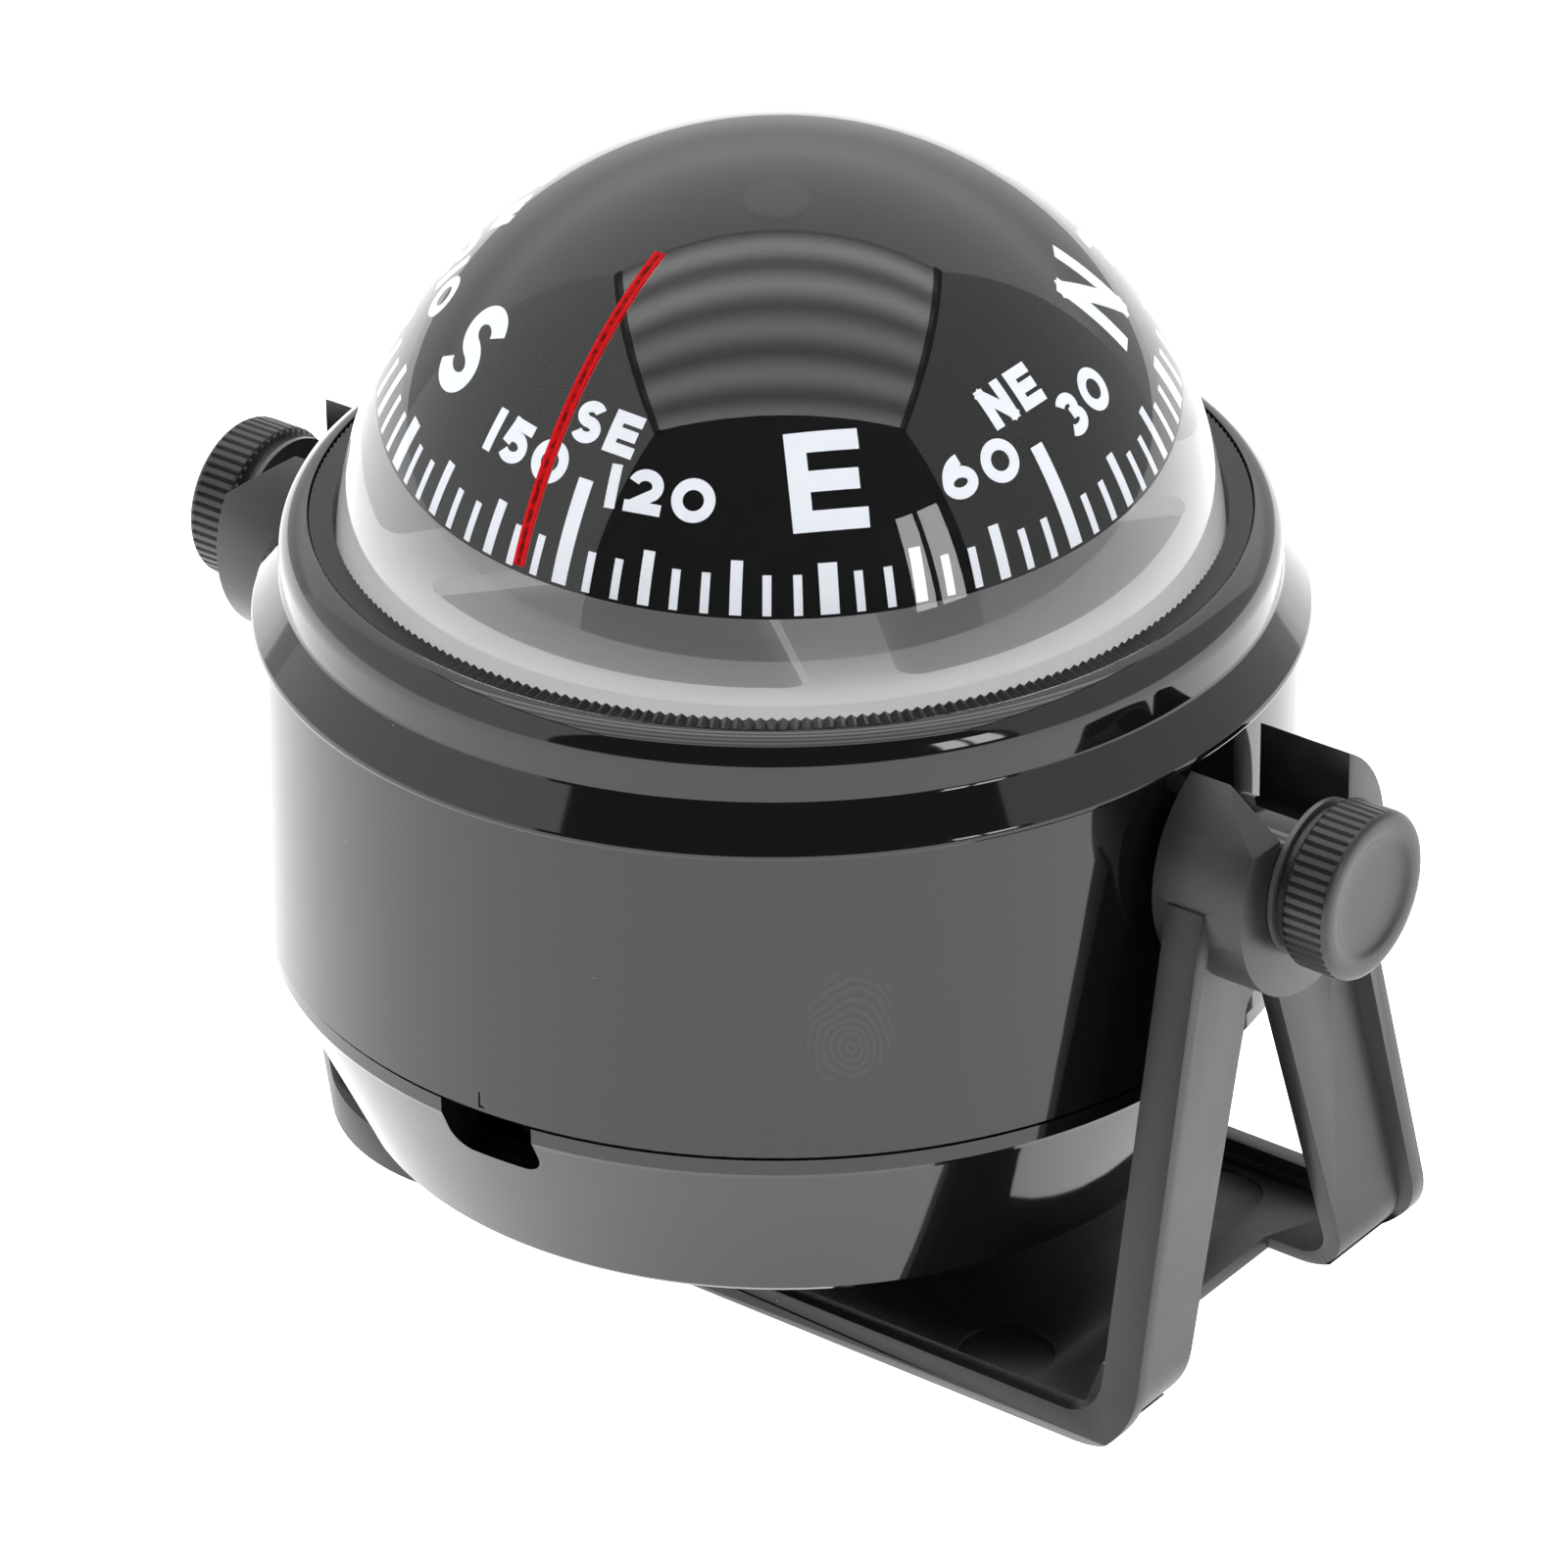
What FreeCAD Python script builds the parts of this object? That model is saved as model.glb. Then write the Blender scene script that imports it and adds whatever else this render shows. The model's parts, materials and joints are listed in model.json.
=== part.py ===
import FreeCAD, Part
import math
import os

# A dashboard compass: a tilting ball compass held between the slotted hubs of a U-shaped bracket.
# Lengths in millimetres. X runs along the tilt axis, the driver looks along +Y, the base stands on Z = 0.
# Each piece's own sizes come first, then the places that follow from them.

# Shared clearances
OVERRUN = 2.0                   # how far a cutter passes beyond what it cuts
SEAT_GAP = 0.05                 # between pieces that are pressed or glued together
RUN_GAP = 0.3                   # between pieces that move past each other
SHAFT_GAP = 0.1                 # around a shaft in its bearing
EDGE_R = 0.4                    # moulded edge rounding

# Body shells
BODY_CLEARANCE = 6.0            # between the base's walls and the body's floor
BODY_R = 40.4                   # the upper shell's radius at its foot
BODY_TAPER = 0.4                # how much narrower it is at its top
LOWER_H = 15.6                  # from the floor up to the seam
PIVOT_DROP = 7.84               # from the upper shell's top down to the tilt axis
SHELL_WALL = 2.0
BAND_SETBACK = 0.3              # the lower shell's plain band stands back under the seam
BAND_H = 1.7
CONE_INSET = 6.5                # how much narrower the cone is at the floor
FLOOR_THICK = 2.0
SPIGOT_H = 2.2                  # lower shell's lip inside the upper shell
SPIGOT_WALL = 1.1
SHELF_H = 4.2                   # inner shelf that carries the bowl's flange
DECK_LIFT = 2.8                 # inner deck's underside above the seam
DECK_THICK = 1.6
DECK_GAP = 1.0                  # between the deck and the filler plug's head
DECK_HOLE_INSET = 6.5           # from the screws' circle
NOTCH_W = 8.2                   # D-shaped notch in the lower shell's top edge
NOTCH_DEPTH = 4.8
NOTCH_CORNER_R = 1.8
NOTCH_X = 2.2
TICK_W = 0.5                    # short sunk tick above the notch
TICK_H = 1.3
TICK_DEPTH = 0.15
TICK_LIFT = 0.7

# Bezel
BEZEL_OVERHANG = 0.35
BEZEL_LIP_H = 0.5
BEZEL_CHAMFER_W = 2.25
BEZEL_CHAMFER_H = 3.6
BEZEL_WALL_H = 3.2
BEZEL_CROWN_W = 1.3
BEZEL_CROWN_H = 1.3
BEZEL_RISE = 0.4
BEZEL_SKIRT_H = 1.8
BEZEL_SKIRT_WALL = 0.85

# Dome, its seals and its retaining ring
DOME_FLANGE_W = 2.85
DOME_WALL = 1.8
DOME_FLANGE_LIFT = 2.9          # flange's top above the bezel's foot
DOME_CENTRE_LIFT = 1.0          # the ball's centre above the flange's top
DOME_FLANGE_THICK = 2.2
GASKET_THICK = 0.8
BOWL_FLANGE_THICK = 2.0
RING_FOOT_H = 1.8
RING_WALL = 0.8
RING_SUNK = 0.15                # ring's top below the bezel's top
RING_TOOTH_COUNT = 120
TOOTH_GAP_W = 0.7
TOOTH_DEPTH = 0.5

# Lubber line, an inlay in the dome's outer face
LINE_W = 0.9
LINE_DEPTH = 0.4
LINE_PROUD = 0.06
LINE_TOP_DEG = 24.7             # polar angles from the dome's apex
LINE_FOOT_DEG = 68.5

# Capsule bowl and its diaphragm
BOWL_FLANGE_W = 3.5
BOWL_WALL = 1.6
BOWL_DEPTH = 12.8               # from the ledge down to the bowl's underside
BOWL_LEDGE_W = 1.4
DIAPHRAGM_SHARE = 0.497         # its radius over the bowl's
DIAPHRAGM_LAP = 3.5             # how far it laps the edge of the bowl's hole
DIAPHRAGM_THICK = 0.6
DIAPHRAGM_FOLD_SHARE = 0.545    # the fold's radius over the diaphragm's
DIAPHRAGM_FOLD_W = 2.2
DIAPHRAGM_FOLD_H = 1.2
DIAPHRAGM_RING_WALL = 2.6
DIAPHRAGM_RING_H = 1.0
PLUG_INSET = 9.2                # plug's place in from the bowl's outside
PLUG_HEAD_R = 2.2
PLUG_HEAD_H = 1.0
PLUG_SHANK_R = 1.3

# Window floor under the card
FLOOR_LIFT = 2.3                # its top above the ball's centre
FLOOR_PLATE = 1.2
FLOOR_SKIRT_H = 12.5            # from its top down to the bowl's ledge
FLOOR_SKIRT_WALL = 1.0
WINDOW_MARGIN = 8.0
WINDOW_INNER_R = 9.0
WINDOW_CORNER_R = 1.6
SPOKE_W = 5.8
WINDOW_COUNT = 4
SPOKE_TURN_DEG = 49.3

# Pivot post and needle
NEEDLE_TIP_DROP = 4.4           # tip below the inside of the card's apex
NEEDLE_LENGTH_SHOWN = 4.3       # of it above the post
NEEDLE_R = 0.5
NEEDLE_SEAT_DEPTH = 2.4
NEEDLE_TIP_R = 0.1
NEEDLE_TIP_H = 1.6
POST_FLANGE_R = 4.2
POST_FLANGE_H = 1.2
POST_R = 1.7
POST_SPIGOT_R = 1.5
POST_SPIGOT_H = 3.2

# Card
CARD_SHARE = 0.8081             # the card's radius over that of the dome's inside
CARD_WALL = 0.8
CARD_EDGE_SHARE = 0.305         # card's edge above the ball's centre, over its radius
CARD_HUB_TOP_R = 2.25
CARD_HUB_PROUD = 0.15
CARD_HUB_FLANGE_R = 4.8
CARD_HUB_FLANGE_H = 0.9
CARD_HUB_R = 2.6
CARD_HUB_DROP = 1.5             # hub's foot below the needle's tip
CARD_RING_R = 5.6               # shallow groove round the apex
CARD_RING_W = 0.5
CARD_RING_DEPTH = 0.12
JEWEL_R = 1.1
JEWEL_H = 1.3
JEWEL_CUP_R = 0.8
JEWEL_CUP_H = 0.6
PLATE_LIFT = 0.9                # card plate above the card's edge
PLATE_THICK = 1.0
PLATE_HOLE_R = 7.0
MAGNET_W = 3.0
MAGNET_END_GAP = 6.7            # from the plate's rim
MAGNET_OFFSET = 10.5
CARD_TURN_DEG = 45.0            # the card's north as shown, from +X

# Side bosses, inserts, studs and thumb screws
BOSS_R = 4.2
INSERT_R = 2.9
INSERT_L = 12.0
STUD_R = 1.95
STUD_L = 10.5                   # of it inside the insert
STUD_SUNK = 3.4                 # of it inside the knob
KNOB_R = 6.57
KNOB_L = 4.95
KNOB_RIM_R = 0.7
KNOB_DISH_R = 4.6
KNOB_DISH_DEPTH = 0.35
KNOB_GROOVE_COUNT = 50
KNOB_GROOVE_R = 0.26
WASHER_R = 6.1
WASHER_THICK = 0.4
WASHER_GAP = 0.06               # on each side of the washer

# Compensator
CRADLE_W = 16.0
CRADLE_COVER = 3.2              # cradle's top above the upper shaft's axis
NS_SHAFT_DROP = 2.6             # upper shaft's axis below the seam
SHAFT_PITCH = 5.6               # between the two shafts' axes
SHAFT_R = 2.0
SHAFT_HEAD_R = 2.6
SHAFT_HEAD_H = 2.0
SHAFT_SUNK = 6.4                # slotted heads in from the body's outside
SLOT_W = 0.8
SLOT_DEPTH = 0.9
SHAFT_MAGNET_R = 1.0
EW_ACCESS_R = 3.4

# Screws from below
SCREW_INSET = 6.4               # screws' circle in from the floor's edge
SCREW_COUNT = 3
SCREW_R = 1.2
SCREW_BITE = 6.8                # length in the upper shell's boss
SCREW_HEAD_R = 2.4
SCREW_HEAD_H = 1.4
SCREW_SUNK = 0.9
SCREW_SLOT_W = 0.6
SCREW_SLOT_DEPTH = 0.6
SCREW_BOSS_R = 3.2
SCREW_BOSS_H = 4.0              # lower shell's boss above its floor

# Bracket
HUB_SIDE_GAP = 0.6              # between the body and the hub
HUB_L = 7.9
HUB_R = 9.4
ARM_OUTSET = 6.3                # arm's outer face at the ground beyond the hub's inner end
ARM_LEAN_SHARE = 0.0366         # how far the arm leans inward over its height
ARM_THICK = 3.2
ARM_WEB = 1.6
RIM_W = 1.5
BASE_WALL_H = 3.2
BASE_WEB = 1.2
ARM_WEB_FOOT_Z = 0.8            # the web is set back from the arm's face from here up
BEND_R = 6.1
FOOT_HALF_W = 20.9              # half the bracket's depth at the arms' feet
FOOT_CORNER_R = 1.6
WAIST = 1.3                     # how much less at the middle of the base
BASE_END_INSET = 9.2            # base plate's end between the legs, in from the arm's outer face
PRONG_STEP_INSET = 3.4
PRONG_STEP_DROP = 2.2
GATE_FOOT_HALF_W = 12.0         # half the A-shaped opening's width at the ground
GATE_HEAD = 1.3                 # between the opening's apex and the hub
GATE_APEX_R = 2.2
RECESS_R = 3.75
RECESS_DEPTH = 0.3
RECESS_X = 31.3
RECESS_Y = 14.0
SIDE_STRIP_LIFT = 1.8           # shallow strip sunk in the base walls' outer faces
SIDE_STRIP_H = 1.0
SIDE_STRIP_END_X = 40.5
SIDE_STRIP_DEPTH = 0.2
ROUND_START_X = 22.0            # the base's left end is rounded off from here out
ROUND_R = 17.0
ROUND_TURN_DEG = 45
UPRIGHT_HALF_W = 5.5            # half the depth of the left arm, a single upright
LEFT_RECESS_X = 25.0
LEFT_STRIP_END_X = 20.0

# Levels that follow, from the base up
BODY_FLOOR_Z = BASE_WALL_H + BODY_CLEARANCE
SCREW_JOIN_Z = BODY_FLOOR_Z + FLOOR_THICK + SCREW_BOSS_H
SCREW_TOP_Z = SCREW_JOIN_Z + SCREW_BITE
SEAM_Z = BODY_FLOOR_Z + LOWER_H
NOTCH_FLOOR_Z = SEAM_Z - NOTCH_DEPTH
NS_SHAFT_Z = SEAM_Z - NS_SHAFT_DROP
EW_SHAFT_Z = NS_SHAFT_Z - SHAFT_PITCH
CRADLE_TOP_Z = NS_SHAFT_Z + CRADLE_COVER
DECK_Z = SEAM_Z + DECK_LIFT
BOWL_FLOOR_Z = DECK_Z + DECK_THICK + DECK_GAP + PLUG_HEAD_H
BOWL_LEDGE_Z = BOWL_FLOOR_Z + BOWL_DEPTH
FLOOR_TOP_Z = BOWL_LEDGE_Z + FLOOR_SKIRT_H
DOME_CENTRE_Z = FLOOR_TOP_Z - FLOOR_LIFT
DOME_FLANGE_TOP_Z = DOME_CENTRE_Z - DOME_CENTRE_LIFT
FLANGE_UNDER_Z = DOME_FLANGE_TOP_Z - DOME_FLANGE_THICK
GASKET_UNDER_Z = FLANGE_UNDER_Z - GASKET_THICK
BOWL_FLANGE_UNDER_Z = GASKET_UNDER_Z - BOWL_FLANGE_THICK
BEZEL_FOOT_Z = DOME_FLANGE_TOP_Z - DOME_FLANGE_LIFT
BEZEL_CHAMFER_TOP_Z = BEZEL_FOOT_Z + BEZEL_CHAMFER_H
BEZEL_SHOULDER_Z = BEZEL_CHAMFER_TOP_Z + BEZEL_WALL_H
BEZEL_CROWN_Z = BEZEL_SHOULDER_Z + BEZEL_CROWN_H
BEZEL_TOP_Z = BEZEL_CROWN_Z + BEZEL_RISE
RING_TOP_Z = BEZEL_TOP_Z - RING_SUNK
PIVOT_Z = BEZEL_FOOT_Z - PIVOT_DROP
GATE_APEX_Z = PIVOT_Z - HUB_R - GATE_HEAD

# Radii that follow
BODY_TOP_R = BODY_R - BODY_TAPER
SHELL_IN_R = BODY_TOP_R - SHELL_WALL
BODY_SIDE_R = BODY_TOP_R - SHELL_WALL / 2
BAND_R = BODY_R - BAND_SETBACK
CONE_FOOT_R = BODY_R - CONE_INSET
BEZEL_LIP_R = BODY_TOP_R + BEZEL_OVERHANG
BEZEL_WALL_R = BEZEL_LIP_R - BEZEL_CHAMFER_W
BEZEL_CROWN_R = BEZEL_WALL_R - BEZEL_CROWN_W
SKIRT_OUT_R = SHELL_IN_R - 4 * SEAT_GAP
SKIRT_IN_R = SKIRT_OUT_R - BEZEL_SKIRT_WALL
FLANGE_R = SKIRT_IN_R - 5 * SEAT_GAP
DOME_R = FLANGE_R - DOME_FLANGE_W
DOME_IN_R = DOME_R - DOME_WALL
BEZEL_BORE_R = DOME_R + RING_WALL + 4 * SEAT_GAP
BOWL_R = FLANGE_R - BOWL_FLANGE_W
DIAPHRAGM_R = BOWL_R * DIAPHRAGM_SHARE
DIAPHRAGM_FOLD_R = DIAPHRAGM_R * DIAPHRAGM_FOLD_SHARE
BOWL_HOLE_R = DIAPHRAGM_R - DIAPHRAGM_LAP
PLUG_PLACE_R = BOWL_R - PLUG_INSET
FLOOR_R = BOWL_R - BOWL_WALL - 2 * SEAT_GAP
WINDOW_OUTER_R = FLOOR_R - WINDOW_MARGIN
CARD_R = DOME_IN_R * CARD_SHARE
CARD_IN_R = CARD_R - CARD_WALL
SCREW_PLACE_R = CONE_FOOT_R - SCREW_INSET
DECK_HOLE_R = SCREW_PLACE_R - DECK_HOLE_INSET
SHAFT_HEAD_PLACE = BODY_R - SHAFT_SUNK

# Heights of the card and its needle that follow
CARD_EDGE_Z = DOME_CENTRE_Z + CARD_R * CARD_EDGE_SHARE
PLATE_Z = CARD_EDGE_Z + PLATE_LIFT
NEEDLE_TIP_Z = DOME_CENTRE_Z + CARD_IN_R - NEEDLE_TIP_DROP
POST_TOP_Z = NEEDLE_TIP_Z - NEEDLE_LENGTH_SHOWN
JEWEL_FOOT_Z = NEEDLE_TIP_Z - RUN_GAP
CARD_HUB_FOOT_Z = NEEDLE_TIP_Z - CARD_HUB_DROP

# Places along the tilt axis that follow
HUB_INNER_X = BODY_R + HUB_SIDE_GAP
HUB_OUTER_X = HUB_INNER_X + HUB_L
HUB_SLOT_HALF_W = BOSS_R + RUN_GAP
BOSS_END_X = HUB_OUTER_X - RUN_GAP
WASHER_X = HUB_OUTER_X + WASHER_GAP
KNOB_BACK_X = WASHER_X + WASHER_THICK + WASHER_GAP
KNOB_FACE_X = KNOB_BACK_X + KNOB_L
ARM_FOOT_X = HUB_INNER_X + ARM_OUTSET
BASE_END_X = ARM_FOOT_X - BASE_END_INSET
PRONG_STEP_X = HUB_INNER_X + PRONG_STEP_INSET
WAIST_HALF_W = FOOT_HALF_W - WAIST
ROUND_HALF_W = WAIST_HALF_W + WAIST * ROUND_START_X / BASE_END_X


def vec(x, y, z):
    return FreeCAD.Vector(x, y, z)


def face_of(points):
    # A flat face from a closed outline of vectors.
    return Part.Face(Part.makePolygon(points + [points[0]]))


def turned(outline):
    # A solid of revolution about Z from (radius, height) points.
    face = face_of([vec(r, 0, z) for r, z in outline])
    return face.revolve(vec(0, 0, 0), vec(0, 0, 1), 360)


def ring(outer_r, inner_r, low_z, high_z):
    return turned([(inner_r, low_z), (outer_r, low_z), (outer_r, high_z), (inner_r, high_z)])


def rod(radius, low_z, high_z, x=0, y=0):
    return Part.makeCylinder(radius, high_z - low_z, vec(x, y, low_z), vec(0, 0, 1))


def rod_x(radius, low_x, high_x, y=0, z=PIVOT_Z):
    return Part.makeCylinder(radius, high_x - low_x, vec(low_x, y, z), vec(1, 0, 0))


def rod_y(radius, low_y, high_y, x=0, z=PIVOT_Z):
    return Part.makeCylinder(radius, high_y - low_y, vec(x, low_y, z), vec(0, 1, 0))


def block(low, high):
    size = [high[i] - low[i] for i in range(3)]
    return Part.makeBox(size[0], size[1], size[2], vec(*low))


def around(shape, count, start_deg=0):
    # Copies of a shape at equal steps round the Z axis.
    copies = []
    for index in range(count):
        copy = shape.copy()
        copy.rotate(vec(0, 0, 0), vec(0, 0, 1), start_deg + 360 * index / count)
        copies.append(copy)
    return copies


def ball_shell(outer_r, inner_r, centre_z, low_z):
    # The part of a hollow ball above a level.
    outer = Part.makeSphere(outer_r, vec(0, 0, centre_z))
    inner = Part.makeSphere(inner_r, vec(0, 0, centre_z))
    top = rod(outer_r + OVERRUN, low_z, centre_z + outer_r + OVERRUN)
    return outer.cut(inner).common(top)


def mirrored_x(shape):
    return shape.mirror(vec(0, 0, 0), vec(1, 0, 0))


def save(name, shape):
    shape = shape.removeSplitter()
    shape.exportStep("parts/" + name + ".step")
    print(name, len(shape.Solids), "solid(s)", "valid" if shape.isValid() else "INVALID")


def body_profile_radius(z):
    # The upper shell's outer radius at a height.
    share = (z - SEAM_Z) / (BEZEL_FOOT_Z - SEAM_Z)
    return BODY_R - BODY_TAPER * share


def make_upper_shell():
    shell = turned([
        (SHELL_IN_R, SEAM_Z), (BODY_R - EDGE_R, SEAM_Z), (BODY_R, SEAM_Z + EDGE_R),
        (BODY_TOP_R, BEZEL_FOOT_Z), (SHELL_IN_R, BEZEL_FOOT_Z)])
    shelf_low_z = BOWL_FLANGE_UNDER_Z - SHELF_H
    shelf = turned([
        (SHELL_IN_R, shelf_low_z - SHELF_H), (BOWL_R + SEAT_GAP, shelf_low_z),
        (BOWL_R + SEAT_GAP, BOWL_FLANGE_UNDER_Z), (SHELL_IN_R, BOWL_FLANGE_UNDER_Z)])
    deck = ring(SHELL_IN_R, DECK_HOLE_R, DECK_Z, DECK_Z + DECK_THICK)
    pieces = [shelf, deck]
    pieces += around(rod(SCREW_BOSS_R, SCREW_JOIN_Z, DECK_Z, SCREW_PLACE_R), SCREW_COUNT, 90)
    boss = rod_x(BOSS_R, BODY_SIDE_R, BOSS_END_X)
    pieces += [boss, mirrored_x(boss)]
    shell = shell.multiFuse(pieces)
    insert_end_x = BOSS_END_X - INSERT_L
    bore = rod_x(INSERT_R + SEAT_GAP, insert_end_x, BOSS_END_X + OVERRUN)
    holes = [bore, mirrored_x(bore), make_tick()]
    pilot = rod(SCREW_R + SEAT_GAP, SCREW_JOIN_Z - OVERRUN, SCREW_TOP_Z + RUN_GAP, SCREW_PLACE_R)
    holes += around(pilot, SCREW_COUNT, 90)
    return shell.cut(holes)


def make_tick():
    low_z = SEAM_Z + TICK_LIFT
    high_z = low_z + TICK_H
    back_y = -(body_profile_radius(high_z) - TICK_DEPTH)
    return block((NOTCH_X - TICK_W / 2, back_y - OVERRUN, low_z), (NOTCH_X + TICK_W / 2, back_y, high_z))


def make_notch():
    # The notch's prism: straight sides, open top, rounded lower corners.
    low_x = NOTCH_X - NOTCH_W / 2
    high_x = NOTCH_X + NOTCH_W / 2
    back_y = -SHAFT_HEAD_PLACE
    front_y = -(BAND_R + OVERRUN)
    top_z = SEAM_Z - SEAT_GAP
    full = block((low_x, front_y, NOTCH_FLOOR_Z + NOTCH_CORNER_R), (high_x, back_y, top_z))
    foot = block((low_x + NOTCH_CORNER_R, front_y, NOTCH_FLOOR_Z), (high_x - NOTCH_CORNER_R, back_y, top_z))
    corners = []
    for x in (low_x + NOTCH_CORNER_R, high_x - NOTCH_CORNER_R):
        corners.append(rod_y(NOTCH_CORNER_R, front_y, back_y, x, NOTCH_FLOOR_Z + NOTCH_CORNER_R))
    return full.multiFuse([foot] + corners)


def make_lower_shell():
    band_foot_z = SEAM_Z - BAND_H
    inner_foot_r = CONE_FOOT_R - SHELL_WALL
    spigot_r = SHELL_IN_R - 2 * SEAT_GAP
    shell = turned([
        (0, BODY_FLOOR_Z), (CONE_FOOT_R - EDGE_R, BODY_FLOOR_Z), (CONE_FOOT_R, BODY_FLOOR_Z + EDGE_R),
        (BAND_R - EDGE_R / 2, band_foot_z), (BAND_R, band_foot_z + EDGE_R), (BAND_R, SEAM_Z - SEAT_GAP),
        (spigot_r, SEAM_Z - SEAT_GAP), (spigot_r, SEAM_Z + SPIGOT_H),
        (spigot_r - SPIGOT_WALL, SEAM_Z + SPIGOT_H), (spigot_r - SPIGOT_WALL, band_foot_z),
        (inner_foot_r, BODY_FLOOR_Z + FLOOR_THICK), (0, BODY_FLOOR_Z + FLOOR_THICK)])
    floor_z = BODY_FLOOR_Z + FLOOR_THICK
    bosses = around(rod(SCREW_BOSS_R, floor_z, SCREW_JOIN_Z - SEAT_GAP, SCREW_PLACE_R), SCREW_COUNT, 90)
    shell = shell.multiFuse(bosses)
    head_room = SCREW_HEAD_R + RUN_GAP
    head_top_z = BODY_FLOOR_Z + SCREW_SUNK + SCREW_HEAD_H
    sinks = around(rod(head_room, BODY_FLOOR_Z - OVERRUN, head_top_z, SCREW_PLACE_R), SCREW_COUNT, 90)
    screw_hole = rod(SCREW_R + SHAFT_GAP, BODY_FLOOR_Z, SCREW_JOIN_Z + OVERRUN, SCREW_PLACE_R)
    holes = around(screw_hole, SCREW_COUNT, 90)
    access = rod_x(EW_ACCESS_R, -BAND_R - OVERRUN, -SHAFT_HEAD_PLACE + SHAFT_HEAD_H, 0, EW_SHAFT_Z)
    return shell.cut(sinks + holes + [make_notch(), access])


def make_bezel():
    clamp_z = DOME_FLANGE_TOP_Z + RING_FOOT_H
    return turned([
        (BEZEL_LIP_R, BEZEL_FOOT_Z), (BEZEL_LIP_R, BEZEL_FOOT_Z + BEZEL_LIP_H),
        (BEZEL_WALL_R, BEZEL_CHAMFER_TOP_Z), (BEZEL_WALL_R, BEZEL_SHOULDER_Z),
        (BEZEL_CROWN_R, BEZEL_CROWN_Z), (BEZEL_BORE_R, BEZEL_TOP_Z), (BEZEL_BORE_R, clamp_z),
        (SKIRT_IN_R, clamp_z), (SKIRT_IN_R, BEZEL_FOOT_Z - BEZEL_SKIRT_H),
        (SKIRT_OUT_R, BEZEL_FOOT_Z - BEZEL_SKIRT_H), (SKIRT_OUT_R, BEZEL_FOOT_Z)])


def make_retaining_ring():
    in_r = DOME_R + 2 * SEAT_GAP
    out_r = in_r + RING_WALL
    foot_top_z = DOME_FLANGE_TOP_Z + RING_FOOT_H
    body = turned([
        (in_r, DOME_FLANGE_TOP_Z), (FLANGE_R, DOME_FLANGE_TOP_Z), (FLANGE_R, foot_top_z),
        (out_r, foot_top_z), (out_r, RING_TOP_Z), (in_r, RING_TOP_Z)])
    gap = block(
        (in_r - OVERRUN, -TOOTH_GAP_W / 2, RING_TOP_Z - TOOTH_DEPTH),
        (out_r + OVERRUN, TOOTH_GAP_W / 2, RING_TOP_Z + OVERRUN))
    return body.cut(around(gap, RING_TOOTH_COUNT))


def line_band(outer_r, inner_r):
    # A narrow band on the front of the dome, in the plane of the tilting body's middle.
    shell = ball_shell(outer_r, inner_r, DOME_CENTRE_Z, DOME_CENTRE_Z)
    reach = DOME_R + OVERRUN
    corners = [vec(0, 0, DOME_CENTRE_Z)]
    for degrees in (LINE_FOOT_DEG, (LINE_FOOT_DEG + LINE_TOP_DEG) / 2, LINE_TOP_DEG):
        angle = math.radians(degrees)
        corners.append(vec(0, -reach * math.sin(angle), DOME_CENTRE_Z + reach * math.cos(angle)))
    wedge = face_of(corners).extrude(vec(LINE_W, 0, 0))
    wedge.translate(vec(-LINE_W / 2, 0, 0))
    return shell.common(wedge)


def make_dome():
    dome = ball_shell(DOME_R, DOME_IN_R, DOME_CENTRE_Z, DOME_CENTRE_Z)
    foot = turned([
        (DOME_IN_R, FLANGE_UNDER_Z), (FLANGE_R, FLANGE_UNDER_Z), (FLANGE_R, DOME_FLANGE_TOP_Z - SEAT_GAP),
        (DOME_R, DOME_FLANGE_TOP_Z - SEAT_GAP), (DOME_R, DOME_CENTRE_Z), (DOME_IN_R, DOME_CENTRE_Z)])
    return dome.fuse(foot).cut(line_band(DOME_R + OVERRUN, DOME_R - LINE_DEPTH))


def make_lubber_line():
    return line_band(DOME_R + LINE_PROUD, DOME_R - LINE_DEPTH)


def make_gasket():
    return ring(FLANGE_R, DOME_IN_R, GASKET_UNDER_Z, FLANGE_UNDER_Z)


def make_bowl():
    in_r = BOWL_R - BOWL_WALL
    ledge_r = in_r - BOWL_LEDGE_W
    inner_floor_z = BOWL_FLOOR_Z + BOWL_WALL
    bowl = turned([
        (BOWL_HOLE_R, BOWL_FLOOR_Z), (BOWL_R - BOWL_LEDGE_W, BOWL_FLOOR_Z),
        (BOWL_R - BOWL_LEDGE_W, BOWL_LEDGE_Z - 2 * BOWL_LEDGE_W), (BOWL_R, BOWL_LEDGE_Z - BOWL_LEDGE_W),
        (BOWL_R, BOWL_FLANGE_UNDER_Z), (FLANGE_R, BOWL_FLANGE_UNDER_Z), (FLANGE_R, GASKET_UNDER_Z),
        (in_r, GASKET_UNDER_Z), (in_r, BOWL_LEDGE_Z), (ledge_r, BOWL_LEDGE_Z),
        (ledge_r, inner_floor_z), (BOWL_HOLE_R, inner_floor_z)])
    plug_hole = rod(PLUG_SHANK_R + SEAT_GAP, BOWL_FLOOR_Z - OVERRUN, inner_floor_z + OVERRUN, -PLUG_PLACE_R)
    return bowl.cut(plug_hole)


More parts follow.
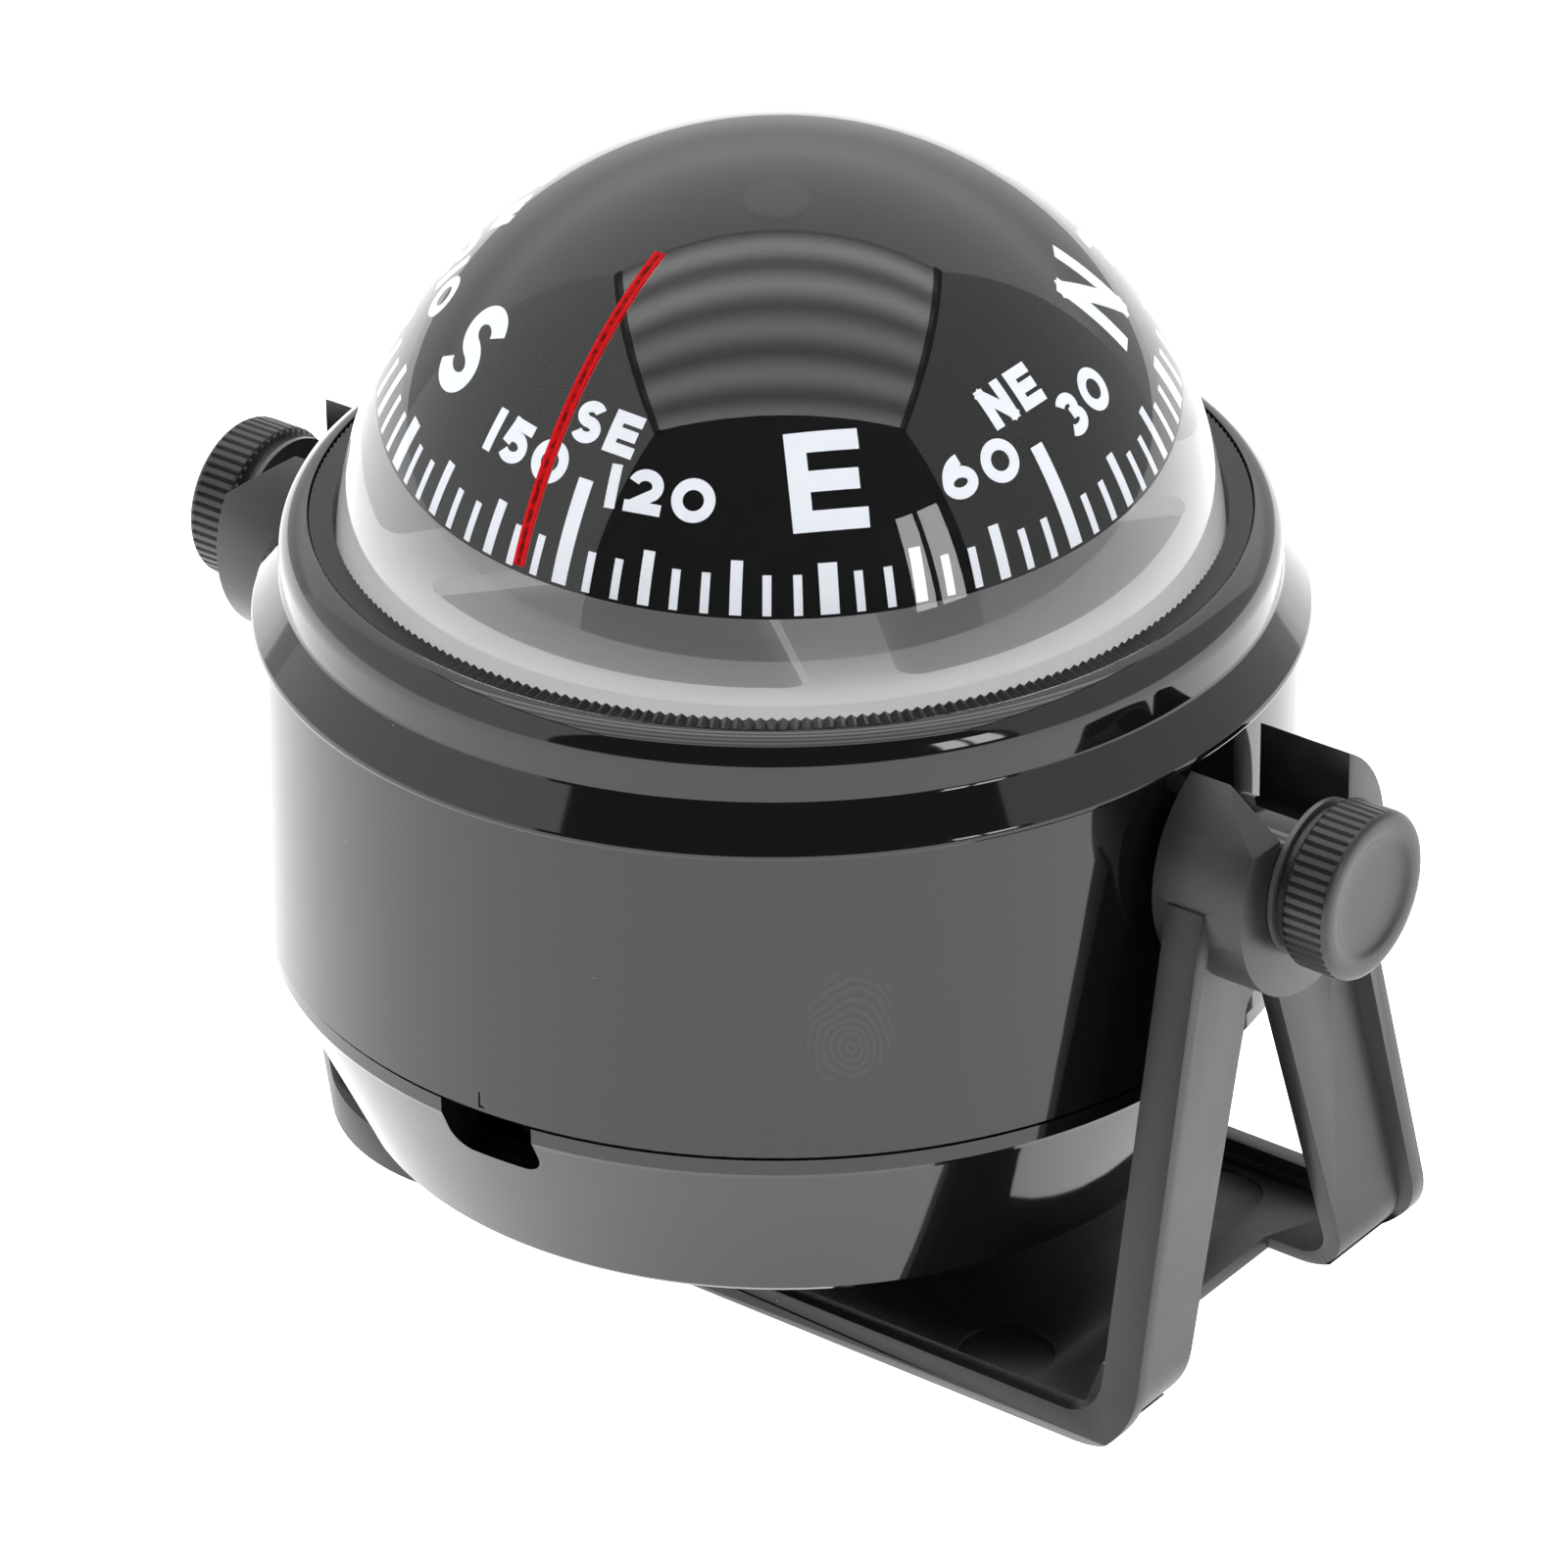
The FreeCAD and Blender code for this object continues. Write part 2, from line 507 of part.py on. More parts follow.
def make_window(turn_deg):
    # One kidney window between two spokes: a quarter ring with rounded corners.
    quarter = ring(WINDOW_OUTER_R, WINDOW_INNER_R, FLOOR_TOP_Z - FLOOR_PLATE - OVERRUN, FLOOR_TOP_Z + OVERRUN)
    reach = WINDOW_OUTER_R + OVERRUN
    low_z = FLOOR_TOP_Z - FLOOR_PLATE - 2 * OVERRUN
    high_z = FLOOR_TOP_Z + 2 * OVERRUN
    sector = block((SPOKE_W / 2, SPOKE_W / 2, low_z), (reach, reach, high_z))
    window = quarter.common(sector)
    uprights = []
    for edge in window.Edges:
        start = edge.Vertexes[0].Point
        end = edge.Vertexes[-1].Point
        if start.sub(end).Length > FLOOR_PLATE and abs(start.z - end.z) > FLOOR_PLATE:
            uprights.append(edge)
    window = window.makeFillet(WINDOW_CORNER_R, uprights)
    window.rotate(vec(0, 0, 0), vec(0, 0, 1), turn_deg)
    return window


def make_window_floor():
    out_r = FLOOR_R
    plate_z = FLOOR_TOP_Z - FLOOR_PLATE
    floor = turned([
        (0, plate_z), (out_r - FLOOR_SKIRT_WALL, plate_z), (out_r - FLOOR_SKIRT_WALL, BOWL_LEDGE_Z),
        (out_r, BOWL_LEDGE_Z), (out_r, FLOOR_TOP_Z - EDGE_R), (out_r - EDGE_R, FLOOR_TOP_Z),
        (0, FLOOR_TOP_Z)])
    step = 360 / WINDOW_COUNT
    cutters = [make_window(SPOKE_TURN_DEG + step * index) for index in range(WINDOW_COUNT)]
    cutters.append(rod(POST_SPIGOT_R + SEAT_GAP, plate_z - OVERRUN, FLOOR_TOP_Z + OVERRUN))
    return floor.cut(cutters)


def make_post():
    flange_top_z = FLOOR_TOP_Z + POST_FLANGE_H
    seat_z = POST_TOP_Z - NEEDLE_SEAT_DEPTH
    return turned([
        (0, FLOOR_TOP_Z - POST_SPIGOT_H), (POST_SPIGOT_R, FLOOR_TOP_Z - POST_SPIGOT_H),
        (POST_SPIGOT_R, FLOOR_TOP_Z), (POST_FLANGE_R, FLOOR_TOP_Z), (POST_FLANGE_R, flange_top_z),
        (POST_R, flange_top_z + POST_FLANGE_H), (POST_R, POST_TOP_Z - POST_R / 2),
        (POST_R / 2, POST_TOP_Z), (NEEDLE_R + SEAT_GAP, POST_TOP_Z), (NEEDLE_R + SEAT_GAP, seat_z),
        (0, seat_z)])


def make_needle():
    shoulder_z = NEEDLE_TIP_Z - NEEDLE_TIP_H
    return turned([
        (0, POST_TOP_Z - NEEDLE_SEAT_DEPTH + SEAT_GAP), (NEEDLE_R, POST_TOP_Z - NEEDLE_SEAT_DEPTH + SEAT_GAP),
        (NEEDLE_R, shoulder_z), (NEEDLE_TIP_R, NEEDLE_TIP_Z), (0, NEEDLE_TIP_Z)])


def make_diaphragm():
    # A thin disc with one rolled fold that lets the liquid grow in the heat.
    high_z = BOWL_FLOOR_Z
    low_z = high_z - DIAPHRAGM_THICK
    fold_in = DIAPHRAGM_FOLD_R - DIAPHRAGM_FOLD_W / 2
    fold_out = DIAPHRAGM_FOLD_R + DIAPHRAGM_FOLD_W / 2
    rise = DIAPHRAGM_FOLD_H
    return turned([
        (0, low_z), (fold_in, low_z), (DIAPHRAGM_FOLD_R, low_z + rise), (fold_out, low_z),
        (DIAPHRAGM_R, low_z), (DIAPHRAGM_R, high_z), (fold_out, high_z),
        (DIAPHRAGM_FOLD_R, high_z + rise), (fold_in, high_z), (0, high_z)])


def make_diaphragm_ring():
    high_z = BOWL_FLOOR_Z - DIAPHRAGM_THICK
    return ring(DIAPHRAGM_R, DIAPHRAGM_R - DIAPHRAGM_RING_WALL, high_z - DIAPHRAGM_RING_H, high_z)


def make_plug():
    head_low_z = BOWL_FLOOR_Z - PLUG_HEAD_H
    plug = rod(PLUG_HEAD_R, head_low_z, BOWL_FLOOR_Z, -PLUG_PLACE_R)
    plug = plug.fuse(rod(PLUG_SHANK_R, BOWL_FLOOR_Z, BOWL_FLOOR_Z + BOWL_WALL, -PLUG_PLACE_R))
    slot = block(
        (-PLUG_PLACE_R - PLUG_HEAD_R, -SCREW_SLOT_W / 2, head_low_z - OVERRUN),
        (-PLUG_PLACE_R + PLUG_HEAD_R, SCREW_SLOT_W / 2, head_low_z + SCREW_SLOT_DEPTH))
    return plug.cut(slot)


def make_card():
    card = ball_shell(CARD_R, CARD_IN_R, DOME_CENTRE_Z, CARD_EDGE_Z)
    hub_hole = rod(CARD_HUB_TOP_R + SEAT_GAP, DOME_CENTRE_Z, DOME_CENTRE_Z + CARD_R + OVERRUN)
    ring_floor_z = DOME_CENTRE_Z + math.sqrt(CARD_R ** 2 - CARD_RING_R ** 2) - CARD_RING_DEPTH
    half = CARD_RING_W / 2
    groove = ring(CARD_RING_R + half, CARD_RING_R - half, ring_floor_z, DOME_CENTRE_Z + CARD_R)
    return card.cut([hub_hole, groove])


def make_card_hub():
    flange_top_z = DOME_CENTRE_Z + math.sqrt(CARD_IN_R ** 2 - CARD_HUB_FLANGE_R ** 2) - SEAT_GAP
    flange_foot_z = flange_top_z - CARD_HUB_FLANGE_H
    cap_z = DOME_CENTRE_Z + CARD_R + CARD_HUB_PROUD
    seat_r = JEWEL_R + SEAT_GAP
    seat_z = JEWEL_FOOT_Z + JEWEL_H
    return turned([
        (0, seat_z), (seat_r, seat_z), (seat_r, CARD_HUB_FOOT_Z), (CARD_HUB_R, CARD_HUB_FOOT_Z),
        (CARD_HUB_R, flange_foot_z), (CARD_HUB_FLANGE_R, flange_foot_z), (CARD_HUB_FLANGE_R, flange_top_z),
        (CARD_HUB_TOP_R, flange_top_z), (CARD_HUB_TOP_R, cap_z - CARD_HUB_PROUD),
        (CARD_HUB_TOP_R - CARD_HUB_PROUD, cap_z), (0, cap_z)])


def make_jewel():
    top_z = JEWEL_FOOT_Z + JEWEL_H
    return turned([
        (0, JEWEL_FOOT_Z + JEWEL_CUP_H), (JEWEL_CUP_R, JEWEL_FOOT_Z), (JEWEL_R, JEWEL_FOOT_Z),
        (JEWEL_R, top_z), (0, top_z)])


def plate_rim_radius(z):
    # The room inside the card at a height.
    return math.sqrt(CARD_IN_R ** 2 - (z - DOME_CENTRE_Z) ** 2) - SEAT_GAP


def make_card_plate():
    top_z = PLATE_Z + PLATE_THICK
    return turned([
        (PLATE_HOLE_R, PLATE_Z), (plate_rim_radius(PLATE_Z), PLATE_Z),
        (plate_rim_radius(top_z), top_z), (PLATE_HOLE_R, top_z)])


def make_card_magnets():
    low_z = PLATE_Z + PLATE_THICK
    high_z = low_z + MAGNET_W
    half_w = MAGNET_W / 2
    half_l = math.sqrt(plate_rim_radius(low_z) ** 2 - (MAGNET_OFFSET + half_w) ** 2) - MAGNET_END_GAP
    bars = []
    for side in (-1, 1):
        low_y = side * MAGNET_OFFSET - half_w
        bars.append(block((-half_l, low_y, low_z), (half_l, low_y + MAGNET_W, high_z)))
    bars = Part.makeCompound(bars)
    bars.rotate(vec(0, 0, 0), vec(0, 0, 1), CARD_TURN_DEG)
    return bars


def make_insert():
    start_x = BOSS_END_X - INSERT_L
    insert = rod_x(INSERT_R, start_x, BOSS_END_X)
    return insert.cut(rod_x(STUD_R + SHAFT_GAP, start_x - OVERRUN, BOSS_END_X + OVERRUN))


def make_stud():
    return rod_x(STUD_R, KNOB_BACK_X - STUD_L, KNOB_BACK_X + STUD_SUNK)


def make_washer():
    high_x = WASHER_X + WASHER_THICK
    washer = rod_x(WASHER_R, WASHER_X, high_x)
    return washer.cut(rod_x(STUD_R + SHAFT_GAP, WASHER_X - OVERRUN, high_x + OVERRUN))


def make_knob():
    rim_in = KNOB_R - KNOB_RIM_R
    outline = [
        (0, KNOB_BACK_X), (rim_in, KNOB_BACK_X), (KNOB_R, KNOB_BACK_X + KNOB_RIM_R),
        (KNOB_R, KNOB_FACE_X - KNOB_RIM_R), (KNOB_R - KNOB_RIM_R / 3, KNOB_FACE_X - KNOB_RIM_R / 3),
        (rim_in, KNOB_FACE_X), (KNOB_DISH_R, KNOB_FACE_X),
        (KNOB_DISH_R - KNOB_DISH_DEPTH, KNOB_FACE_X - KNOB_DISH_DEPTH), (0, KNOB_FACE_X - KNOB_DISH_DEPTH)]
    knob = turned(outline)
    groove = rod(KNOB_GROOVE_R, KNOB_BACK_X - OVERRUN, KNOB_FACE_X - KNOB_RIM_R, KNOB_R)
    knob = knob.cut(around(groove, KNOB_GROOVE_COUNT))
    knob.rotate(vec(0, 0, 0), vec(0, 1, 0), 90)
    knob.translate(vec(0, 0, PIVOT_Z))
    seat = rod_x(STUD_R + SEAT_GAP, KNOB_BACK_X - OVERRUN, KNOB_BACK_X + STUD_SUNK + SEAT_GAP)
    return knob.cut(seat)


def make_shaft_along_y(x, z):
    # A compensator shaft with a slotted head at its front end.
    head_y = -SHAFT_HEAD_PLACE
    end_y = CRADLE_W / 2
    shaft = rod_y(SHAFT_R, head_y, end_y, x, z)
    shaft = shaft.fuse(rod_y(SHAFT_HEAD_R, head_y, head_y + SHAFT_HEAD_H, x, z))
    slot = block(
        (x - SHAFT_HEAD_R - OVERRUN, head_y - OVERRUN, z - SLOT_W / 2),
        (x + SHAFT_HEAD_R + OVERRUN, head_y + SLOT_DEPTH, z + SLOT_W / 2))
    magnet_hole = rod(SHAFT_MAGNET_R + SEAT_GAP, z - SHAFT_R - OVERRUN, z + SHAFT_R + OVERRUN, x)
    return shaft.cut([slot, magnet_hole])


def make_shaft_magnet(x, z):
    half = math.sqrt(SHAFT_R ** 2 - SHAFT_MAGNET_R ** 2)
    return rod(SHAFT_MAGNET_R, z - half, z + half, x)


def make_ew_shaft():
    shaft = make_shaft_along_y(0, EW_SHAFT_Z)
    shaft.rotate(vec(0, 0, 0), vec(0, 0, 1), -90)
    return shaft


def make_cradle():
    half = CRADLE_W / 2
    cradle = block((-half, -half, BODY_FLOOR_Z + FLOOR_THICK), (half, half, CRADLE_TOP_Z))
    bore_r = SHAFT_R + SHAFT_GAP
    bores = [
        rod_y(bore_r, -half - OVERRUN, half + OVERRUN, NOTCH_X, NS_SHAFT_Z),
        rod_x(bore_r, -half - OVERRUN, half + OVERRUN, 0, EW_SHAFT_Z)]
    return cradle.cut(bores)


def make_screws():
    head_low_z = BODY_FLOOR_Z + SCREW_SUNK
    head_top_z = head_low_z + SCREW_HEAD_H
    screw = rod(SCREW_HEAD_R, head_low_z, head_top_z - SEAT_GAP, SCREW_PLACE_R)
    screw = screw.fuse(rod(SCREW_R, head_low_z, SCREW_TOP_Z, SCREW_PLACE_R))
    for turn in (0, 90):
        arm = block(
            (SCREW_PLACE_R - SCREW_HEAD_R, -SCREW_SLOT_W / 2, head_low_z - OVERRUN),
            (SCREW_PLACE_R + SCREW_HEAD_R, SCREW_SLOT_W / 2, head_low_z + SCREW_SLOT_DEPTH))
        arm.rotate(vec(SCREW_PLACE_R, 0, 0), vec(0, 0, 1), turn)
        screw = screw.cut(arm)
    return Part.makeCompound(around(screw, SCREW_COUNT, 90))


def lean_x(inset, z):
    # Place of the arm's leaning outer face at a height, moved in by an inset.
    return ARM_FOOT_X - inset - ARM_LEAN_SHARE * z


def band_face(outer_inset, inner_inset, outer_z, inner_z):
    # Half of the U seen along Y: from the middle of the base round the bend to the arm's top.
    top_z = PIVOT_Z + HUB_R
    outer_r = BEND_R - outer_inset
    inner_r = BEND_R - inner_inset
    tilt = math.atan(ARM_LEAN_SHARE)
    outline = []
    for inset, level, radius in ((outer_inset, outer_z, outer_r), (inner_inset, inner_z, inner_r)):
        foot_x = lean_x(inset, level)
        reach = radius * math.tan((math.pi / 2 + tilt) / 2)
        start = vec(foot_x - reach, 0, level)
        end = vec(foot_x - reach * math.sin(tilt), 0, level + reach * math.cos(tilt))
        centre = vec(foot_x - reach, 0, level + radius)
        middle_angle = (math.pi / 2 - tilt) / 2
        middle = centre.add(vec(radius * math.sin(middle_angle), 0, -radius * math.cos(middle_angle)))
        top = vec(lean_x(inset, top_z), 0, top_z)
        outline.append((start, middle, end, top))
    outer, inner = outline
    edges = [
        Part.LineSegment(vec(0, 0, outer_z), outer[0]).toShape(),
        Part.Arc(outer[0], outer[1], outer[2]).toShape(),
        Part.LineSegment(outer[2], outer[3]).toShape(),
        Part.LineSegment(outer[3], inner[3]).toShape(),
        Part.LineSegment(inner[3], inner[2]).toShape(),
        Part.Arc(inner[2], inner[1], inner[0]).toShape(),
        Part.LineSegment(inner[0], vec(0, 0, inner_z)).toShape(),
        Part.LineSegment(vec(0, 0, inner_z), vec(0, 0, outer_z)).toShape()]
    return Part.Face(Part.Wire(edges))


def band_solid(outer_inset, inner_inset, outer_z, inner_z):
    # The right half of a U-shaped band, wider than the bracket.
    reach = FOOT_HALF_W + OVERRUN
    solid = band_face(outer_inset, inner_inset, outer_z, inner_z).extrude(vec(0, 2 * reach, 0))
    solid.translate(vec(0, -reach, 0))
    return solid


def leg_slope():
    # Slope of the legs' outer edges, which run from the feet to touch the hub's circle.
    slope = 0
    for _ in range(20):
        slope = (FOOT_HALF_W - HUB_R * math.sqrt(1 + slope ** 2)) / PIVOT_Z
    return slope


def arm_outline(inset):
    # The arm's outline seen along X, moved in by an inset, as a prism over the right half.
    slope = leg_slope()
    side_inset = inset * math.sqrt(1 + slope ** 2)
    foot = FOOT_HALF_W - side_inset
    top = foot - slope * PIVOT_Z
    cut_r = FOOT_CORNER_R
    points = [
        vec(0, -foot + cut_r, 0), vec(0, foot - cut_r, 0), vec(0, foot - slope * cut_r, cut_r),
        vec(0, top, PIVOT_Z), vec(0, -top, PIVOT_Z), vec(0, -foot + slope * cut_r, cut_r)]
    prism = face_of(points).extrude(vec(KNOB_FACE_X, 0, 0))
    hub = rod_x(HUB_R - inset, 0, KNOB_FACE_X)
    return prism.fuse(hub)


def base_outline(inset):
    # The base's outline seen from above, a little narrower at its middle.
    half = WAIST_HALF_W - inset
    foot = FOOT_HALF_W - inset
    end = ARM_FOOT_X + OVERRUN
    top_z = PIVOT_Z + HUB_R + OVERRUN
    points = [vec(0, -half, 0), vec(BASE_END_X, -foot, 0), vec(end, -foot, 0)]
    points += [vec(end, foot, 0), vec(BASE_END_X, foot, 0), vec(0, half, 0)]
    return face_of(points).extrude(vec(0, 0, top_z))


def gate_prism():
    # The A-shaped opening between the legs, rounded at its apex, right through the bend.
    apex_z = GATE_APEX_Z - GATE_APEX_R
    length = KNOB_FACE_X - BASE_END_X
    points = [
        vec(BASE_END_X, -GATE_FOOT_HALF_W, -OVERRUN), vec(BASE_END_X, GATE_FOOT_HALF_W, -OVERRUN),
        vec(BASE_END_X, GATE_APEX_R, apex_z), vec(BASE_END_X, -GATE_APEX_R, apex_z)]
    prism = face_of(points).extrude(vec(length, 0, 0))
    return prism.fuse(rod_x(GATE_APEX_R, BASE_END_X, KNOB_FACE_X, 0, apex_z))


def hub_solid():
    return rod_x(HUB_R, HUB_INNER_X, HUB_OUTER_X)


def slot_prism():
    # The slot that takes the body's side boss: open at the top, round at the bottom.
    low_x = HUB_INNER_X - OVERRUN
    high_x = HUB_OUTER_X + OVERRUN
    walls = block((low_x, -HUB_SLOT_HALF_W, PIVOT_Z), (high_x, HUB_SLOT_HALF_W, PIVOT_Z + HUB_R + OVERRUN))
    return walls.fuse(rod_x(HUB_SLOT_HALF_W, low_x, high_x))


def prong_step():
    # The front prong's top slopes down towards the knob.
    top_z = PIVOT_Z + HUB_R
    points = [
        vec(PRONG_STEP_X, -HUB_R, top_z), vec(PRONG_STEP_X, -HUB_R, top_z - PRONG_STEP_DROP / 2),
        vec(HUB_OUTER_X, -HUB_R, top_z - 2 * PRONG_STEP_DROP), vec(HUB_OUTER_X, -HUB_R, top_z)]
    return face_of(points).extrude(vec(0, HUB_R, 0))


def upright_outline(inset):
    # The left arm's outline seen along X: the low bend, the single upright and the hub.
    foot = FOOT_HALF_W - inset
    half = UPRIGHT_HALF_W - inset
    bend = block((0, -foot, 0), (KNOB_FACE_X, foot, BEND_R))
    upright = block((0, -half, 0), (KNOB_FACE_X, half, PIVOT_Z))
    hub = rod_x(HUB_R - inset, 0, KNOB_FACE_X)
    return bend.fuse([upright, hub])


def rounded_base_outline(inset):
    # The base's left end seen from above: a rounded corner and a slant into the upright, front and back.
    half = WAIST_HALF_W - inset
    foot = ROUND_HALF_W - inset
    arm = UPRIGHT_HALF_W - inset
    end = ARM_FOOT_X + OVERRUN
    radius = ROUND_R - inset
    turn = math.radians(ROUND_TURN_DEG)
    centre_y = foot - radius
    middle = (ROUND_START_X + radius * math.sin(turn / 2), centre_y + radius * math.cos(turn / 2))
    corner = (ROUND_START_X + radius * math.sin(turn), centre_y + radius * math.cos(turn))
    slant_end = (corner[0] + (corner[1] - arm) / math.tan(turn), arm)
    halves = []
    for side in (-1, 1):
        places = [(0, 0), (0, half), (ROUND_START_X, foot), middle, corner, slant_end, (end, arm), (end, 0)]
        at = [vec(x, side * y, 0) for x, y in places]
        edges = [Part.LineSegment(at[0], at[1]).toShape(), Part.LineSegment(at[1], at[2]).toShape()]
        edges.append(Part.Arc(at[2], at[3], at[4]).toShape())
        for first, second in ((4, 5), (5, 6), (6, 7), (7, 0)):
            edges.append(Part.LineSegment(at[first], at[second]).toShape())
        halves.append(Part.Face(Part.Wire(edges)).extrude(vec(0, 0, PIVOT_Z + HUB_R + OVERRUN)))
    hub = rod_x(HUB_R - inset, ROUND_START_X, end)
    return halves[0].fuse([halves[1], hub]).removeSplitter()


def side_strips(end_x):
    # A long shallow strip sunk in the outer face of the base's front and back walls.
    low = (0, WAIST_HALF_W - SIDE_STRIP_DEPTH, SIDE_STRIP_LIFT)
    high = (end_x, FOOT_HALF_W, SIDE_STRIP_LIFT + SIDE_STRIP_H)
    strip = block(low, high)
    slope_deg = math.degrees(math.atan((FOOT_HALF_W - WAIST_HALF_W) / BASE_END_X))
    strip.rotate(vec(0, WAIST_HALF_W, 0), vec(0, 0, 1), slope_deg)
    other = strip.mirror(vec(0, 0, 0), vec(0, 1, 0))
    return [strip, other]


def walled_band(outline, inside):
    # Half of the U: raised walls along its outline's edge and a thin web between them.
    border = band_solid(0, ARM_THICK, 0, BASE_WALL_H)
    below = block((0, -FOOT_HALF_W, 0), (KNOB_FACE_X, FOOT_HALF_W, ARM_WEB_FOOT_Z))
    low_web = band_solid(0, ARM_THICK, 0, BASE_WEB).common(below)
    web = band_solid(ARM_THICK - ARM_WEB, ARM_THICK, 0, BASE_WEB).cut(below)
    walls = border.common(outline).cut(inside)
    return walls.fuse([web.common(outline), low_web.common(outline)])


def with_hub(half, recess_x, strip_end_x):
    # Adds the slotted hub, and cuts the recesses in the floor and the strips in the walls.
    cutters = [slot_prism(), prong_step()] + side_strips(strip_end_x)
    for side in (-1, 1):
        cutters.append(rod(RECESS_R, BASE_WEB - RECESS_DEPTH, BASE_WEB + OVERRUN, recess_x, side * RECESS_Y))
    return half.fuse(hub_solid()).cut(cutters)


def make_bracket():
    outline = arm_outline(0).common(base_outline(0))
    inside = arm_outline(RIM_W).common(base_outline(RIM_W))
    right = walled_band(outline, inside).cut(gate_prism())
    right = with_hub(right, RECESS_X, SIDE_STRIP_END_X)
    outline = upright_outline(0).common(rounded_base_outline(0))
    inside = upright_outline(RIM_W).common(rounded_base_outline(RIM_W))
    left = with_hub(walled_band(outline, inside), LEFT_RECESS_X, LEFT_STRIP_END_X)
    return right.fuse(mirrored_x(left))


def make_all():
    os.makedirs("parts", exist_ok=True)
    save("bracket", make_bracket())
    save("upper_body_shell", make_upper_shell())
    save("lower_body_shell", make_lower_shell())
    save("bezel_ring", make_bezel())
    save("toothed_retaining_ring", make_retaining_ring())
    save("dome_gasket", make_gasket())
    save("dome_lens", make_dome())
    save("lubber_line", make_lubber_line())
    save("capsule_bowl", make_bowl())
    save("window_floor", make_window_floor())
    save("pivot_post", make_post())
    save("pivot_needle", make_needle())
    save("expansion_diaphragm", make_diaphragm())
    save("diaphragm_ring", make_diaphragm_ring())
    save("filler_plug", make_plug())
    save("body_screws", make_screws())
    insert = make_insert()
    save("thread_inserts", Part.makeCompound([insert, mirrored_x(insert)]))
    save("compensator_cradle", make_cradle())
    save("compass_card", make_card())
    save("card_hub", make_card_hub())
    save("card_jewel", make_jewel())
    save("card_plate", make_card_plate())
    save("card_magnets", make_card_magnets())
    for name, shape in (("washer", make_washer()), ("knob", make_knob()), ("stud", make_stud())):
        save("right_" + name, shape)
        save("left_" + name, mirrored_x(shape))
    save("ns_shaft", make_shaft_along_y(NOTCH_X, NS_SHAFT_Z))
    save("ns_magnet", make_shaft_magnet(NOTCH_X, NS_SHAFT_Z))
    save("ew_shaft", make_ew_shaft())
    save("ew_magnet", make_shaft_magnet(0, EW_SHAFT_Z))


make_all()
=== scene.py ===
import json
import math
import bpy
from mathutils import Matrix, Vector

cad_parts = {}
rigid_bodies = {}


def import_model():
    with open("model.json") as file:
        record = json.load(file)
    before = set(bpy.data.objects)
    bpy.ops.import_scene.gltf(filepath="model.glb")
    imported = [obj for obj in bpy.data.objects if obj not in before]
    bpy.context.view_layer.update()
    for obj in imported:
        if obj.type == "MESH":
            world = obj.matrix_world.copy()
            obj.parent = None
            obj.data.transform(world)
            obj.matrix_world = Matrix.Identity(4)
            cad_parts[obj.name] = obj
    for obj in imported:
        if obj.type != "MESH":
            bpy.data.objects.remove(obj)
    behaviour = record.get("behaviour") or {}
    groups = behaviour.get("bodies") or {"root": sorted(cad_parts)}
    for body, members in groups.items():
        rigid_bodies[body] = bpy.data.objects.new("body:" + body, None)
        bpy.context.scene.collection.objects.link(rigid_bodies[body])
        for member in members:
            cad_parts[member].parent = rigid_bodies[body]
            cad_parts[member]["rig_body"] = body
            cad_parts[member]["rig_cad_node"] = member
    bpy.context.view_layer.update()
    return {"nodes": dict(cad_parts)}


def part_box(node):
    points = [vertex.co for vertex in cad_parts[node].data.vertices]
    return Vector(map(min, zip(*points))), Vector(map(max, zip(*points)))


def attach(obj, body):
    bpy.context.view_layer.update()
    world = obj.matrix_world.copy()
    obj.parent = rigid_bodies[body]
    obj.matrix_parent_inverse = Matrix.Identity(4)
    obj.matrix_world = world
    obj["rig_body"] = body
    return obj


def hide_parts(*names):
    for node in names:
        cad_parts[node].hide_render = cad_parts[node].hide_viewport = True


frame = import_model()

mm = 0.001
tiny = 1e-6
print("frame loaded:", len(frame["nodes"]), "nodes")


# Selecting, shaping and finishing, used by every piece

def selectNothing():
    if bpy.context.object and bpy.context.object.mode != "OBJECT":
        bpy.ops.object.mode_set(mode="OBJECT")
    bpy.ops.object.select_all(action="DESELECT")


def activate(piece):
    selectNothing()
    piece.select_set(True)
    bpy.context.view_layer.objects.active = piece


def editAll(piece):
    activate(piece)
    bpy.ops.object.mode_set(mode="EDIT")
    bpy.ops.mesh.select_all(action="SELECT")


def leaveEdit():
    bpy.ops.object.mode_set(mode="OBJECT")


def applyModifier(piece, kind, **settings):
    activate(piece)
    modifier = piece.modifiers.new(kind.lower(), kind)
    for name, value in settings.items():
        setattr(modifier, name, value)
    bpy.ops.object.modifier_apply(modifier=modifier.name)


def settle(piece, name):  # its place goes into the mesh, so the object stays at the origin
    activate(piece)
    bpy.ops.object.transform_apply(location=True, rotation=True, scale=True)
    piece.name = name
    piece.data.name = name


def smooth(piece, degrees=30):
    activate(piece)
    bpy.ops.object.shade_smooth_by_angle(angle=math.radians(degrees))


